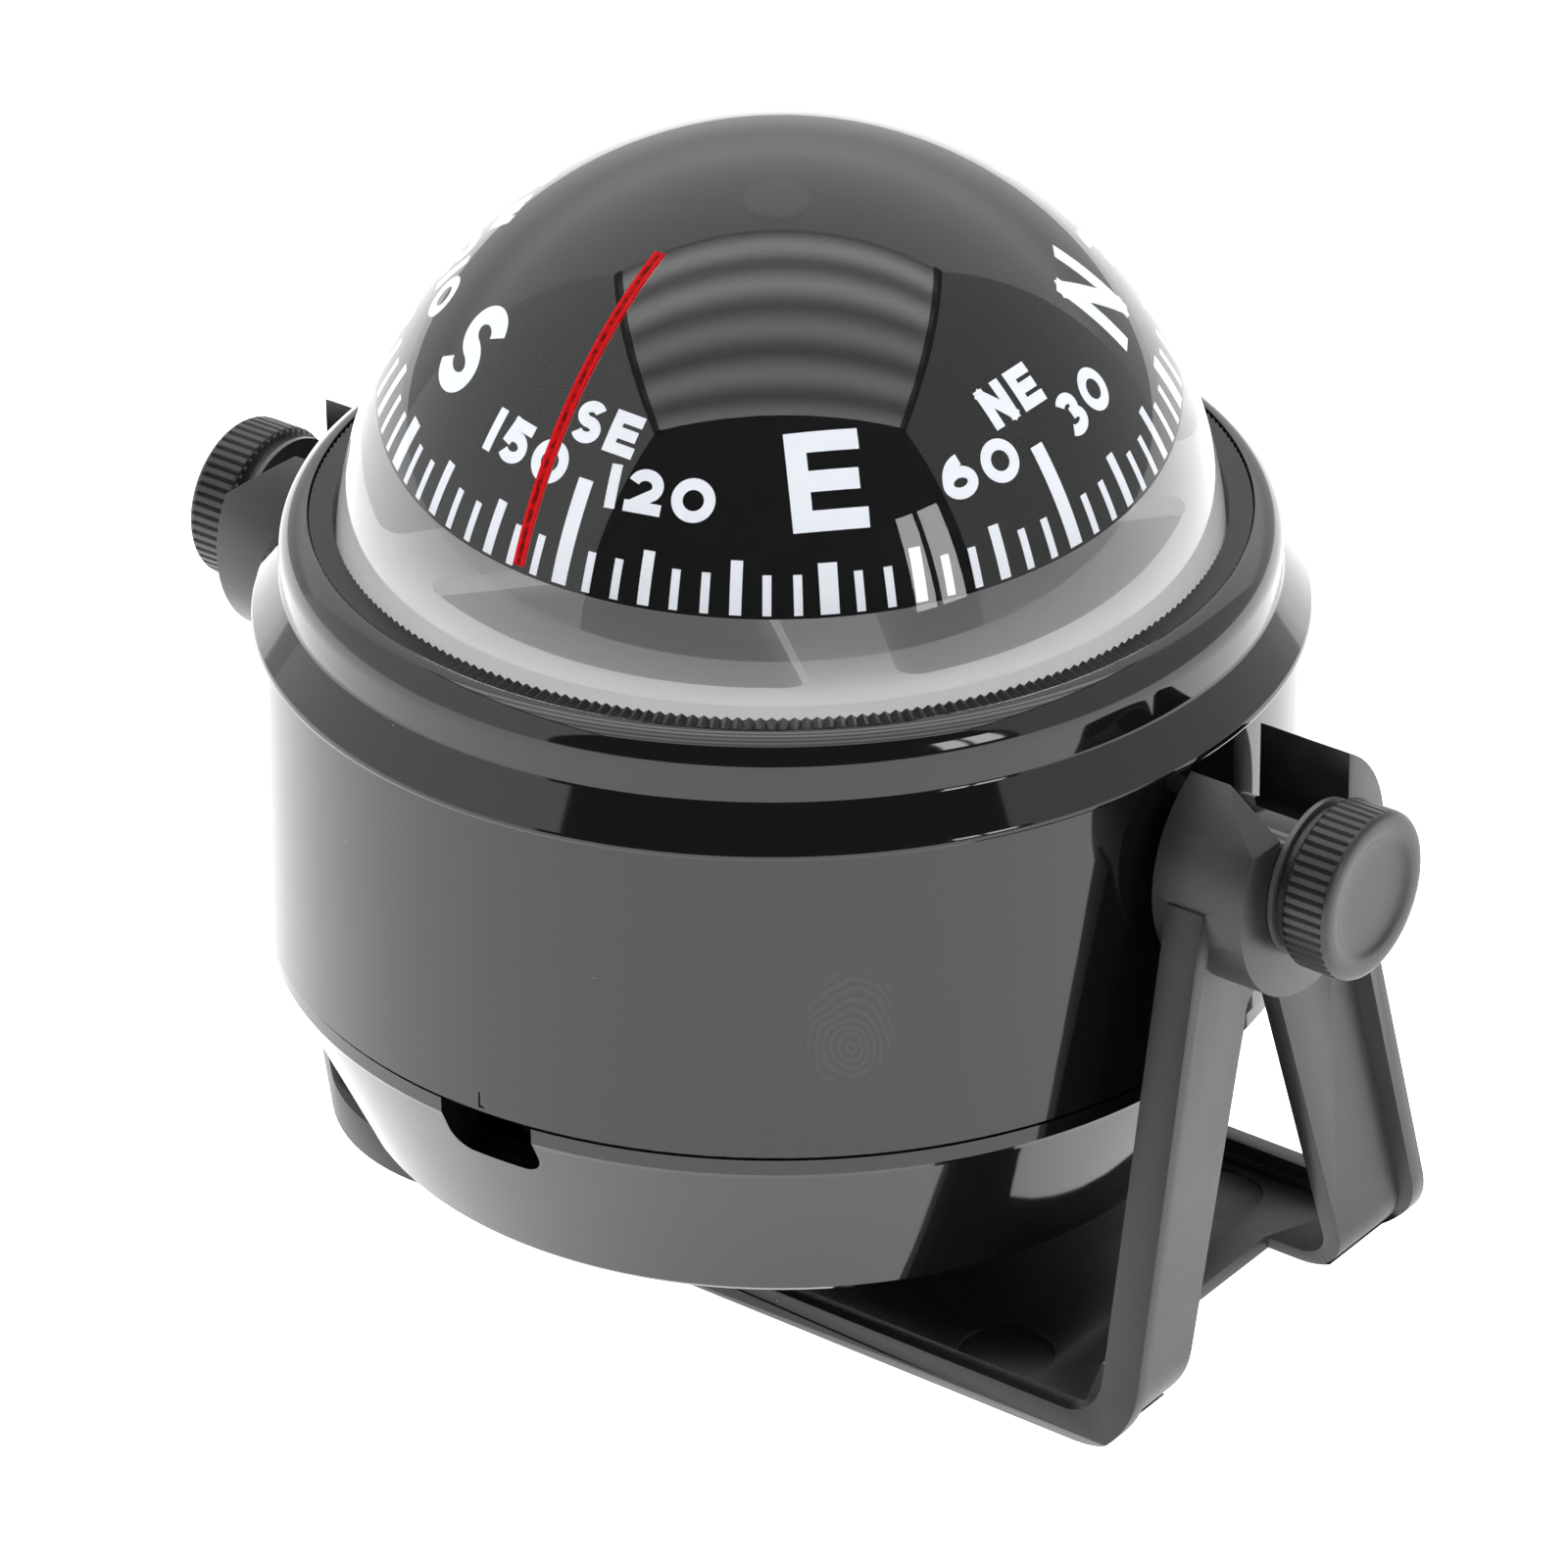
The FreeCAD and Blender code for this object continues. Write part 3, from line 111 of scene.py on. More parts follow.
def lathe(name, outline, steps):
    selectNothing()
    bpy.ops.mesh.primitive_plane_add(size=1, location=(0, 0, 0))
    piece = bpy.context.object
    editAll(piece)
    bpy.ops.mesh.merge(type="CENTER")
    bpy.ops.transform.translate(value=(outline[0][0], 0, outline[0][1]))
    for here, there in zip(outline, outline[1:]):
        step = (there[0] - here[0], 0, there[1] - here[1])
        bpy.ops.mesh.extrude_vertices_move(TRANSFORM_OT_translate={"value": step})
    bpy.ops.mesh.select_all(action="SELECT")
    bpy.ops.mesh.spin(steps=steps, angle=2 * math.pi, center=(0, 0, 0), axis=(0, 0, 1))
    bpy.ops.mesh.select_all(action="SELECT")
    bpy.ops.mesh.remove_doubles(threshold=tiny)
    bpy.ops.mesh.dissolve_degenerate(threshold=tiny)
    bpy.ops.mesh.normals_make_consistent(inside=False)
    leaveEdit()
    settle(piece, name)
    smooth(piece)
    return piece


def softened(node, name, width):  # a copy of a part with its edges rounded
    source = frame["nodes"][node]
    piece = source.copy()
    piece.data = source.data.copy()
    del piece["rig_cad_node"]
    bpy.context.scene.collection.objects.link(piece)
    activate(piece)
    bpy.ops.object.parent_clear(type="CLEAR_KEEP_TRANSFORM")
    if piece.data.has_custom_normals:
        bpy.ops.mesh.customdata_custom_splitnormals_clear()
    editAll(piece)
    bpy.ops.mesh.remove_doubles(threshold=tiny)
    bpy.ops.mesh.dissolve_limited(angle_limit=math.radians(0.5))
    leaveEdit()
    settle(piece, name)
    applyModifier(piece, "BEVEL", width=width, segments=2, limit_method="ANGLE",
                  angle_limit=math.radians(32), use_clamp_overlap=True, harden_normals=False,
                  miter_outer="MITER_ARC")
    smooth(piece, 35)
    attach(piece, source["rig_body"])
    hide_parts(node)
    return piece


def arc(radius, startDegrees, endDegrees, count, centre=(0.0, 0.0)):  # angles from the upright axis
    points = []
    for i in range(count + 1):
        angle = math.radians(startDegrees + (endDegrees - startDegrees) * i / count)
        points.append((centre[0] + radius * math.sin(angle), centre[1] + radius * math.cos(angle)))
    return points


# Shader graphs: a Wire is one socket, and sums on it add Math nodes

class Wire:
    def __init__(self, graph, socket):
        self.graph = graph
        self.socket = socket

    def __add__(self, other):
        return self.graph.maths("ADD", self, other)

    def __radd__(self, other):
        return self.graph.maths("ADD", other, self)

    def __sub__(self, other):
        return self.graph.maths("SUBTRACT", self, other)

    def __rsub__(self, other):
        return self.graph.maths("SUBTRACT", other, self)

    def __mul__(self, other):
        return self.graph.maths("MULTIPLY", self, other)

    def __rmul__(self, other):
        return self.graph.maths("MULTIPLY", other, self)

    def __truediv__(self, other):
        return self.graph.maths("DIVIDE", self, other)

    def __rtruediv__(self, other):
        return self.graph.maths("DIVIDE", other, self)

    def __pow__(self, other):
        return self.graph.maths("POWER", self, other)

    def __gt__(self, other):
        return self.graph.maths("GREATER_THAN", self, other)

    def __lt__(self, other):
        return self.graph.maths("LESS_THAN", self, other)

    def __abs__(self):
        return self.graph.maths("ABSOLUTE", self)


class Graph:
    def __init__(self, owner):
        owner.use_nodes = True
        self.tree = owner.node_tree
        self.tree.nodes.clear()

    def node(self, kind, settings=None, values=None):
        made = self.tree.nodes.new(kind)
        for name, value in (settings or {}).items():
            setattr(made, name, value)
        for name, value in (values or {}).items():
            self.feed(made.inputs[name], value)
        return made

    def feed(self, target, value):
        if isinstance(value, Wire):
            self.tree.links.new(value.socket, target)
        elif target.type == "RGBA" and len(value) == 3:
            target.default_value = (*value, 1.0)
        else:
            target.default_value = value

    def out(self, made, name=0):
        return Wire(self, made.outputs[name])

    def maths(self, operation, *values):
        made = self.node("ShaderNodeMath", {"operation": operation}, dict(enumerate(values)))
        return self.out(made)

    def clamp(self, value, low=0.0, high=1.0):
        return self.out(self.node("ShaderNodeClamp", None, {"Value": value, "Min": low, "Max": high}))

    def ease(self, value, low, high, start=0.0, end=1.0):  # start below low, end above high, smooth between
        made = self.node("ShaderNodeMapRange", {"interpolation_type": "SMOOTHSTEP"},
                         {"Value": value, "From Min": low, "From Max": high,
                          "To Min": start, "To Max": end})
        return self.out(made, "Result")

    def blend(self, factor, first, second):  # colours
        made = self.node("ShaderNodeMix", {"data_type": "RGBA"}, {"Factor": factor})
        self.feed(made.inputs[6], first)
        self.feed(made.inputs[7], second)
        return self.out(made, 2)

    def place(self, turn=(0.0, 0.0, 0.0), move=(0.0, 0.0, 0.0)):  # object coordinates in millimetres
        where = self.node("ShaderNodeTexCoord")
        made = self.node("ShaderNodeMapping", None,
                         {"Vector": self.out(where, "Object"), "Scale": (1 / mm, 1 / mm, 1 / mm),
                          "Rotation": turn, "Location": move})
        return self.out(made)

    def split(self, vector):
        made = self.node("ShaderNodeSeparateXYZ", None, {"Vector": vector})
        return [self.out(made, axis) for axis in "XYZ"]

    def noise(self, vector, size, detail=2.0, roughness=0.5):  # size of its features in millimetres
        made = self.node("ShaderNodeTexNoise", None,
                         {"Vector": vector, "Scale": 1 / size, "Detail": detail, "Roughness": roughness})
        return self.out(made, "Fac")

    def specks(self, vector, spacing, size, seed=0.0):  # 1 on small grains, each of its own size
        shifted = self.node("ShaderNodeVectorMath", {"operation": "ADD"},
                            {0: vector, 1: (seed, seed * 0.7, seed * 1.3)})
        made = self.node("ShaderNodeTexVoronoi", None,
                         {"Vector": self.out(shifted), "Scale": 1 / spacing, "Randomness": 1.0})
        share = self.split(self.out(made, "Color"))[0] ** 4
        return self.out(made, "Distance") < share * (size / spacing)

    def bump(self, height, distance, strength=1.0):
        made = self.node("ShaderNodeBump", None,
                         {"Height": height, "Distance": distance, "Strength": strength})
        return self.out(made)

    def finish(self, **sockets):  # names of the shader's sockets with their spaces left out
        shader = self.node("ShaderNodeBsdfPrincipled")
        for socket in shader.inputs:
            key = socket.name.replace(" ", "")
            if key in sockets:
                self.feed(socket, sockets.pop(key))
        if sockets:
            raise ValueError("no such sockets: " + ", ".join(sockets))
        self.node("ShaderNodeOutputMaterial", None, {"Surface": self.out(shader)})


def dress(material, *pieces):
    for piece in pieces:
        piece.data.materials.clear()
        piece.data.materials.append(material)


# Camera

photoView = {
    "azimuth": 37.39,
    "elevation": 29.56,
    "roll": 0.66,
    "distance": 655.6 * mm,
    "aimHeight": 33.88 * mm,
    "lens": 195.19,
    "sensor": 36.0,
}


def makeCamera(view):
    azimuth = math.radians(view["azimuth"])
    elevation = math.radians(view["elevation"])
    roll = math.radians(view["roll"])
    back = Vector((math.sin(azimuth) * math.cos(elevation),
                   -math.cos(azimuth) * math.cos(elevation), math.sin(elevation)))
    level = Vector((math.cos(azimuth), math.sin(azimuth), 0))
    upright = back.cross(level)
    right = level * math.cos(roll) - upright * math.sin(roll)
    up = level * math.sin(roll) + upright * math.cos(roll)
    data = bpy.data.cameras.new("camera")
    data.lens = view["lens"]
    data.sensor_width = view["sensor"]
    data.clip_start = 10 * mm
    data.clip_end = 20.0
    camera = bpy.data.objects.new("camera", data)
    bpy.context.scene.collection.objects.link(camera)
    turn = Matrix((right, up, back)).transposed().to_4x4()
    place = Vector((0, 0, view["aimHeight"])) + back * view["distance"]
    camera.matrix_world = Matrix.Translation(place) @ turn
    bpy.context.scene.camera = camera


makeCamera(photoView)
bpy.context.scene.view_settings.view_transform = "Standard"
print("camera ready")


# Studio: a bright floor inside a white cloth box that is open towards the photographer

studio = {
    "topHeight": 1.54,          # of the box, over its half width
    "halfDepth": 0.8,
    "topLight": 2.3,
    "topFar": 3.0,              # the top's far half
    "topChange": (-0.05, 0.2),  # from near to far, where its light changes
    "leftLight": 1.5,
    "rightLight": 1.0,
    "backLow": 1.1,             # the back cloth near the floor
    "backLight": 1.8,
    "backRise": (0.25, 0.55),   # slopes between which it brightens
    "openLight": 0.09,          # towards the photographer
    "floorLight": 2.4,
    "tubeCount": 5.6,           # lamps seen through the top cloth
    "tubeShare": 0.45,
    "seamWidth": 0.035,         # of the dark seams along the top's sides
    "seamReach": 1.05,
    "seamShade": 0.85,
    "crossWidth": 0.021,        # of the seam along its far edge
    "crossShade": 0.3,
    "leastRise": 0.05,          # keeps the divisions below clear of nought
    "windowLight": 9.0,
    "windowTurn": 0.72,         # to the right of straight ahead, in radians
    "windowHalfWidth": 0.12,
    "windowRise": 0.33,
    "windowHalfHeight": 0.19,
    "barTurn": 0.71,            # of the bar between its two panes
    "barHalfWidth": 0.014,
    "floorSize": 3.0,
    "floorGlow": 1.35,
}


def makeStudio(settings):
    world = bpy.data.worlds.new("studio")
    bpy.context.scene.world = world
    g = Graph(world)
    where = g.node("ShaderNodeTexCoord")
    turned = g.node("ShaderNodeMapping", {"vector_type": "POINT"},
                    {"Vector": g.out(where, "Generated"),
                     "Rotation": (0, 0, -math.radians(photoView["azimuth"]))})
    aside, away, up = g.split(g.out(turned))
    sideways = abs(aside)
    depth = abs(away) / settings["halfDepth"]
    wall = g.maths("MAXIMUM", sideways, depth)
    lift = up / settings["topHeight"]
    onTop = lift > wall
    onSide = sideways > depth
    toRight = aside > 0.0
    toBack = away > 0.0
    sideLight = settings["leftLight"] + toRight * (settings["rightLight"] - settings["leftLight"])
    rise = g.ease(up / g.maths("MAXIMUM", abs(away), settings["leastRise"]), *settings["backRise"])
    backLight = settings["backLow"] + rise * (settings["backLight"] - settings["backLow"])
    endLight = settings["openLight"] + toBack * (backLight - settings["openLight"])
    wallLight = endLight + onSide * (sideLight - endLight)
    above = g.maths("MAXIMUM", lift, settings["leastRise"])
    along = away / above
    tubes = g.maths("SINE", along * (math.pi * settings["tubeCount"]))
    near = g.ease(along, *settings["topChange"], 1.0, 0.0)
    topLight = settings["topFar"] + near * (settings["topLight"] - settings["topFar"])
    topLight = topLight * (1 - settings["tubeShare"] * tubes)
    light = wallLight + onTop * (topLight - wallLight)
    beside = (abs(sideways / above - 1) < settings["seamWidth"]) * (depth / above < settings["seamReach"])
    farEdge = abs(away / settings["halfDepth"] / above - 1)
    across = (farEdge < settings["crossWidth"]) * (sideways < lift)
    light = light * (1 - settings["seamShade"] * beside) * (1 - settings["crossShade"] * across)
    azimuth = g.maths("ARCTAN2", aside, -1 * away)
    inWindow = abs(azimuth - settings["windowTurn"]) < settings["windowHalfWidth"]
    inWindow = inWindow * (abs(up - settings["windowRise"]) < settings["windowHalfHeight"])
    inWindow = inWindow * (abs(azimuth - settings["barTurn"]) > settings["barHalfWidth"])
    light = light + inWindow * settings["windowLight"]
    light = light + (up < 0.0) * (settings["floorLight"] - light)
    seen = g.node("ShaderNodeLightPath")
    light = light + g.out(seen, "Is Camera Ray") * (1.0 - light)
    shown = g.node("ShaderNodeBackground", None, {"Color": (1.0, 1.0, 1.0), "Strength": light})
    g.node("ShaderNodeOutputWorld", None, {"Surface": g.out(shown)})


def makeFloor(settings):
    selectNothing()
    bpy.ops.mesh.primitive_plane_add(size=settings["floorSize"], location=(0, 0, 0))
    floor = bpy.context.object
    settle(floor, "floor")
    paper = bpy.data.materials.new("floorPaper")
    g = Graph(paper)
    grain = g.noise(g.place(), 9.0)
    g.finish(BaseColor=g.blend(grain, (0.80, 0.80, 0.80), (0.84, 0.84, 0.84)), Roughness=0.9,
             EmissionColor=(1.0, 1.0, 1.0), EmissionStrength=settings["floorGlow"])
    dress(paper, floor)


makeStudio(studio)
makeFloor(studio)
print("studio ready")


# Finishes

glossFinish = {
    "colour": (0.0035, 0.0035, 0.004),
    "dusty": (0.10, 0.10, 0.11),
    "roughness": 0.045,
    "hazeSize": 14.0,
    "haze": 0.03,
    "waveSize": 5.0,
    "waveDepth": 0.010 * mm,
    "dustSpacing": 4.2,
    "dustSize": 0.16,
    "fineSpacing": 1.89,
    "fineSize": 0.08,
    "dustRoughness": 0.4,
}


def glossPlastic(name, settings, smudge=None):
    made = bpy.data.materials.new(name)
    g = Graph(made)
    p = g.place()
    dust = g.specks(p, settings["dustSpacing"], settings["dustSize"], 3.0)
    fine = g.specks(p, settings["fineSpacing"], settings["fineSize"], 11.0)
    dust = g.maths("MAXIMUM", dust, fine)
    haze = g.noise(p, settings["hazeSize"], 3.0)
    rough = settings["roughness"] + settings["haze"] * haze + settings["dustRoughness"] * dust
    colour = g.blend(dust, settings["colour"], settings["dusty"])
    if smudge:
        mark = fingerprint(g, p, smudge)
        rough = rough + mark * smudge["roughness"]
        colour = g.blend(mark * smudge["grease"], colour, settings["dusty"])
    wave = g.noise(p, settings["waveSize"], 1.0)
    g.finish(BaseColor=colour, Roughness=rough, IOR=1.5, Normal=g.bump(wave, settings["waveDepth"]))
    return made


fingerMark = {
    "azimuth": -46.0,           # where it is on the body
    "height": 36.0,
    "radius": 40.2,
    "halfWidth": 4.2,
    "halfHeight": 6.5,
    "ridge": 0.55,
    "flatten": 0.7,             # of the rings of ridges
    "coreDrop": 1.2,
    "wobbleSize": 3.5,
    "wobble": 1.6,
    "edgeSize": 2.2,
    "edgeRagged": 0.9,
    "edgeFade": (0.55, 1.0),
    "roughness": 0.16,
    "grease": 0.10,             # how far the ridges go towards the colour of dust
}


def fingerprint(g, p, settings):
    x, y, z = g.split(p)
    angle = math.radians(settings["azimuth"])
    along = x * -math.sin(angle) + y * math.cos(angle)
    outward = x * math.cos(angle) + y * math.sin(angle)
    rise = z - settings["height"]
    wobble = (g.noise(p, settings["wobbleSize"], 2.0) - 0.5) * settings["wobble"]
    reach = ((along / settings["halfWidth"]) ** 2 + (rise / settings["halfHeight"]) ** 2) ** 0.5
    drop = rise * settings["flatten"] + settings["coreDrop"]
    centre = ((along ** 2 + drop ** 2) ** 0.5 + wobble) / settings["ridge"]
    ridges = g.ease(g.maths("SINE", centre * (2 * math.pi)), -0.1, 0.7)
    ragged = (g.noise(p, settings["edgeSize"]) - 0.5) * settings["edgeRagged"]
    patch = g.ease(reach + ragged, *settings["edgeFade"], 1.0, 0.0)
    front = outward > settings["radius"] * 0.8
    return ridges * patch * front


matteFinish = {
    "colour": (0.010, 0.010, 0.0108),
    "worn": (0.015, 0.015, 0.016),
    "roughness": 0.30,
    "grain": 0.22,
    "grainDepth": 0.018 * mm,
    "grainRoughness": 0.1,
    "patch": 6.0,
    "patchRange": (0.35, 0.8),
    "patchRoughness": 0.12,
    "dustSpacing": 3.2,
    "dustSize": 0.12,
    "dusty": (0.12, 0.12, 0.12),
}


def mattePlastic(name, settings):
    made = bpy.data.materials.new(name)
    g = Graph(made)
    p = g.place()
    grain = g.noise(p, settings["grain"], 2.0, 0.6)
    patch = g.noise(p, settings["patch"], 3.0)
    dust = g.specks(p, settings["dustSpacing"], settings["dustSize"], 5.0)
    colour = g.blend(g.ease(patch, *settings["patchRange"]), settings["colour"], settings["worn"])
    colour = g.blend(dust, colour, settings["dusty"])
    rough = settings["roughness"] + settings["patchRoughness"] * patch + settings["grainRoughness"] * grain
    g.finish(BaseColor=colour, Roughness=rough, IOR=1.48, Normal=g.bump(grain, settings["grainDepth"]))
    return made


# glow is painted light: an even glow from a part that is no lamp
def plainFinish(name, colour, second, roughness, grain=1.5, metallic=0.0, ior=1.46, glow=0.0):
    made = bpy.data.materials.new(name)
    g = Graph(made)
    p = g.place()
    patch = g.noise(p, grain, 3.0)
    mottle = g.noise(p, grain * 6, 2.0)
    g.finish(BaseColor=g.blend(g.clamp(patch * 0.5 + mottle * 0.5), colour, second),
             Roughness=roughness + 0.12 * (patch - 0.5), Metallic=metallic, IOR=ior,
             EmissionColor=(1.0, 1.0, 1.0), EmissionStrength=glow, Normal=g.bump(patch, 0.004 * mm))
    return made


def clearFinish(name):
    made = bpy.data.materials.new(name)
    g = Graph(made)
    g.finish(BaseColor=(0.97, 0.98, 0.985), Roughness=0.0, IOR=1.45, TransmissionWeight=1.0)
    return made


lineLook = {
    "middle": (0.10, 0.0008, 0.001),
    "edge": (0.46, 0.004, 0.006),
    "edgeRange": (0.10, 0.26),  # from the line's middle
    "raggedSize": 0.5,
    "ragged": 0.25,
    "wornSize": 0.9,
    "wornRange": (0.42, 0.58),
    "worn": 0.6,
    "dentSize": 0.3,
    "dentDepth": 0.02 * mm,
}


def lineFinish(name, settings):  # a red inlay, darker along its middle
    made = bpy.data.materials.new(name)
    g = Graph(made)
    p = g.place()
    ragged = abs(g.split(p)[0]) + (g.noise(p, settings["raggedSize"], 3.0) - 0.5) * settings["ragged"]
    edge = g.ease(ragged, *settings["edgeRange"])
    worn = g.ease(g.noise(p, settings["wornSize"], 3.0), *settings["wornRange"])
    colour = g.blend(g.maths("MAXIMUM", edge, worn * settings["worn"]), settings["middle"], settings["edge"])
    dents = g.bump(g.noise(p, settings["dentSize"]), settings["dentDepth"])
    g.finish(BaseColor=colour, Roughness=0.35, IOR=1.12, Normal=dents)
    return made


finishes = {
    "body": glossPlastic("glossBody", glossFinish, fingerMark),
    "bezel": glossPlastic("glossBezel", glossFinish),
    "matte": mattePlastic("matteMoulded", matteFinish),
    "ring": plainFinish("ringPlastic", (0.010, 0.010, 0.011), (0.018, 0.018, 0.02), 0.35),
    "card": plainFinish("cardBlack", (0.006, 0.006, 0.0065), (0.009, 0.009, 0.010), 0.30, 4.0,
                        ior=1.06),
    "hub": plainFinish("hubBlack", (0.012, 0.012, 0.0125), (0.020, 0.020, 0.021), 0.22, 3.0, ior=1.13),
    "print": plainFinish("cardPrintWhite", (0.86, 0.90, 0.97), (0.92, 0.95, 1.0), 0.6, 2.0),
    # painted light: the frosted floor glows a little, which lifts the card's shadow on it
    "frosted": plainFinish("frostedFloorPaintedGlow", (0.66, 0.655, 0.64), (0.72, 0.715, 0.70), 0.6, 2.5, glow=0.13),
    "bowl": plainFinish("frostedBowl", (0.60, 0.60, 0.60), (0.68, 0.68, 0.68), 0.6, 2.5),
    # painted light: the film behind the windows glows a little, which lifts the card's shadow on it
    "film": plainFinish("frostedFilmPaintedGlow", (0.46, 0.46, 0.45), (0.54, 0.54, 0.53), 0.5, 3.0, glow=0.065),
    "washer": plainFinish("washerGrey", (0.05, 0.05, 0.052), (0.08, 0.08, 0.082), 0.35),
    # painted shade: the black of the sheet behind the notch
    "dark": plainFinish("notchShadeBlack", (0.002, 0.002, 0.002), (0.004, 0.004, 0.004), 0.6),
    "inner": plainFinish("innerPlastic", (0.02, 0.02, 0.022), (0.03, 0.03, 0.032), 0.5),
    "rubber": plainFinish("sealRubber", (0.015, 0.015, 0.015), (0.03, 0.03, 0.03), 0.75),
    "brass": plainFinish("turnedBrass", (0.70, 0.50, 0.22), (0.78, 0.60, 0.30), 0.28, 0.6, 1.0),
    "blackened": plainFinish("blackenedBrass", (0.010, 0.009, 0.008), (0.022, 0.019, 0.015), 0.4, 0.8),
    "steel": plainFinish("brightSteel", (0.55, 0.55, 0.57), (0.65, 0.65, 0.67), 0.25, 0.6, 1.0),
    "magnet": plainFinish("magnetPlate", (0.30, 0.30, 0.32), (0.42, 0.42, 0.44), 0.35, 1.0, 1.0),
    "jewel": plainFinish("jewelStone", (0.35, 0.02, 0.08), (0.55, 0.08, 0.16), 0.08, 0.8),
    "line": lineFinish("lubberRed", lineLook),
    "clear": clearFinish("clearDome"),
}

nodeFinishes = {
    "body": ["upper_body_shell", "lower_body_shell"],
    "bezel": ["bezel_ring"],
    "matte": ["bracket", "right_knob", "left_knob"],
    "ring": ["toothed_retaining_ring"],
    "card": ["compass_card"],
    "hub": ["card_hub"],
    "frosted": ["window_floor"],
    "bowl": ["capsule_bowl"],
    "inner": ["diaphragm_ring", "card_plate", "compensator_cradle"],
    "rubber": ["dome_gasket", "expansion_diaphragm"],
    "brass": ["pivot_post", "filler_plug", "thread_inserts"],
    "blackened": ["ns_shaft", "ew_shaft"],
    "steel": ["pivot_needle", "right_stud", "left_stud", "body_screws"],
    "washer": ["right_washer", "left_washer"],
    "magnet": ["card_magnets", "ns_magnet", "ew_magnet"],
    "jewel": ["card_jewel"],
    "line": ["lubber_line"],
    "clear": ["dome_lens"],
}

for finish, nodes in nodeFinishes.items():
    dress(finishes[finish], *[frame["nodes"][node] for node in nodes])
print("finishes on the nodes")


# Dome with the liquid that it holds, as one clear body, so that light bends once on its way in

domeShape = {
    "ballRadius": 33.85 * mm,
    "flangeRadius": 36.68 * mm,
    "flangeTop": 53.2 * mm,
    "flangeFoot": 51.0 * mm,
    "liquidRadius": 31.75 * mm,
    "liquidFoot": 32.3 * mm,
    "steps": 192,
}


def makeDome(shape):
    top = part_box("dome_lens")[1].z
    centre = top - shape["ballRadius"]
    footAngle = math.degrees(math.acos((shape["flangeTop"] - centre) / shape["ballRadius"]))
    outline = arc(shape["ballRadius"], 0, footAngle, 64, (0, centre))
    outline += [(shape["flangeRadius"], shape["flangeTop"]), (shape["flangeRadius"], shape["flangeFoot"]),
                (shape["liquidRadius"], shape["flangeFoot"]), (shape["liquidRadius"], shape["liquidFoot"]),
                (0, shape["liquidFoot"])]
    dome = lathe("clear_dome", outline, shape["steps"])
    dress(finishes["clear"], dome)
    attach(dome, "compass_body")
    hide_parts("dome_lens")
    return centre


ballCentre = makeDome(domeShape)
print("dome made")


# Bezel with its rounded crown, and the dark ring with fine teeth that holds the dome

bezelShape = {  # radii and heights in millimetres
    "lip": 40.35,
    "foot": 50.3,
    "lipTop": 50.75,
    "wall": 38.1,
    "chamferTop": 53.9,
    "crownRadius": 2.7,         # of the round from the wall to the bore
    "crownCentre": 56.12,
    "bore": 35.8,
    "ledge": 55.0,
    "skirt": 37.0,
    "skirtFoot": 48.5,
    "skirtOut": 37.8,
    "edge": 0.16 * mm,
    "steps": 256,
}


def makeBezel(shape):
    middle = shape["wall"] - shape["crownRadius"]
    innerTurn = math.asin((shape["bore"] - middle) / shape["crownRadius"])
    outline = [(shape["skirtOut"], shape["foot"]), (shape["lip"], shape["foot"]),
               (shape["lip"], shape["lipTop"]), (shape["wall"], shape["chamferTop"])]
    outline += arc(shape["crownRadius"], 90, math.degrees(innerTurn), 24, (middle, shape["crownCentre"]))
    outline += [(shape["bore"], shape["ledge"]), (shape["skirt"], shape["ledge"]),
                (shape["skirt"], shape["skirtFoot"]), (shape["skirtOut"], shape["skirtFoot"]),
                (shape["skirtOut"], shape["foot"])]
    bezel = lathe("rounded_bezel", [(r * mm, z * mm) for r, z in outline], shape["steps"])
    applyModifier(bezel, "BEVEL", width=shape["edge"], segments=2, limit_method="ANGLE",
                  angle_limit=math.radians(32))
    smooth(bezel, 40)
    dress(finishes["bezel"], bezel)
    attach(bezel, "compass_body")
    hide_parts("bezel_ring")


ringShape = {
    "inner": 33.95,
    "outer": 35.7,
    "flange": 36.65,
    "foot": 53.2,
    "flangeTop": 54.9,
    "top": 58.65,
    "teeth": 260,
    "toothBody": 1.0,
    "toothDepth": 0.28,
}


def makeToothedRing(shape):
    low = shape["top"] - shape["toothBody"]
    outline = [(shape["inner"], shape["foot"]), (shape["flange"], shape["foot"]),
               (shape["flange"], shape["flangeTop"]), (shape["outer"], shape["flangeTop"]),
               (shape["outer"], low), (shape["outer"], shape["top"]), (shape["inner"], shape["top"]),
               (shape["inner"], low), (shape["inner"], shape["foot"])]
    ring = lathe("fine_toothed_ring", [(r * mm, z * mm) for r, z in outline], shape["teeth"] * 2)
    for vertex in ring.data.vertices:
        if vertex.co.z > (low + shape["top"]) / 2 * mm:
            step = round(math.atan2(vertex.co.y, vertex.co.x) / math.pi * shape["teeth"])
            if step % 2:
                vertex.co.z -= shape["toothDepth"] * mm
    smooth(ring, 25)
    dress(finishes["ring"], ring)
    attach(ring, "compass_body")
    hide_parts("toothed_retaining_ring")


makeBezel(bezelShape)
makeToothedRing(ringShape)
print("bezel and ring made")


# Thumb screws: a dark neck, fine ribs and a dished face

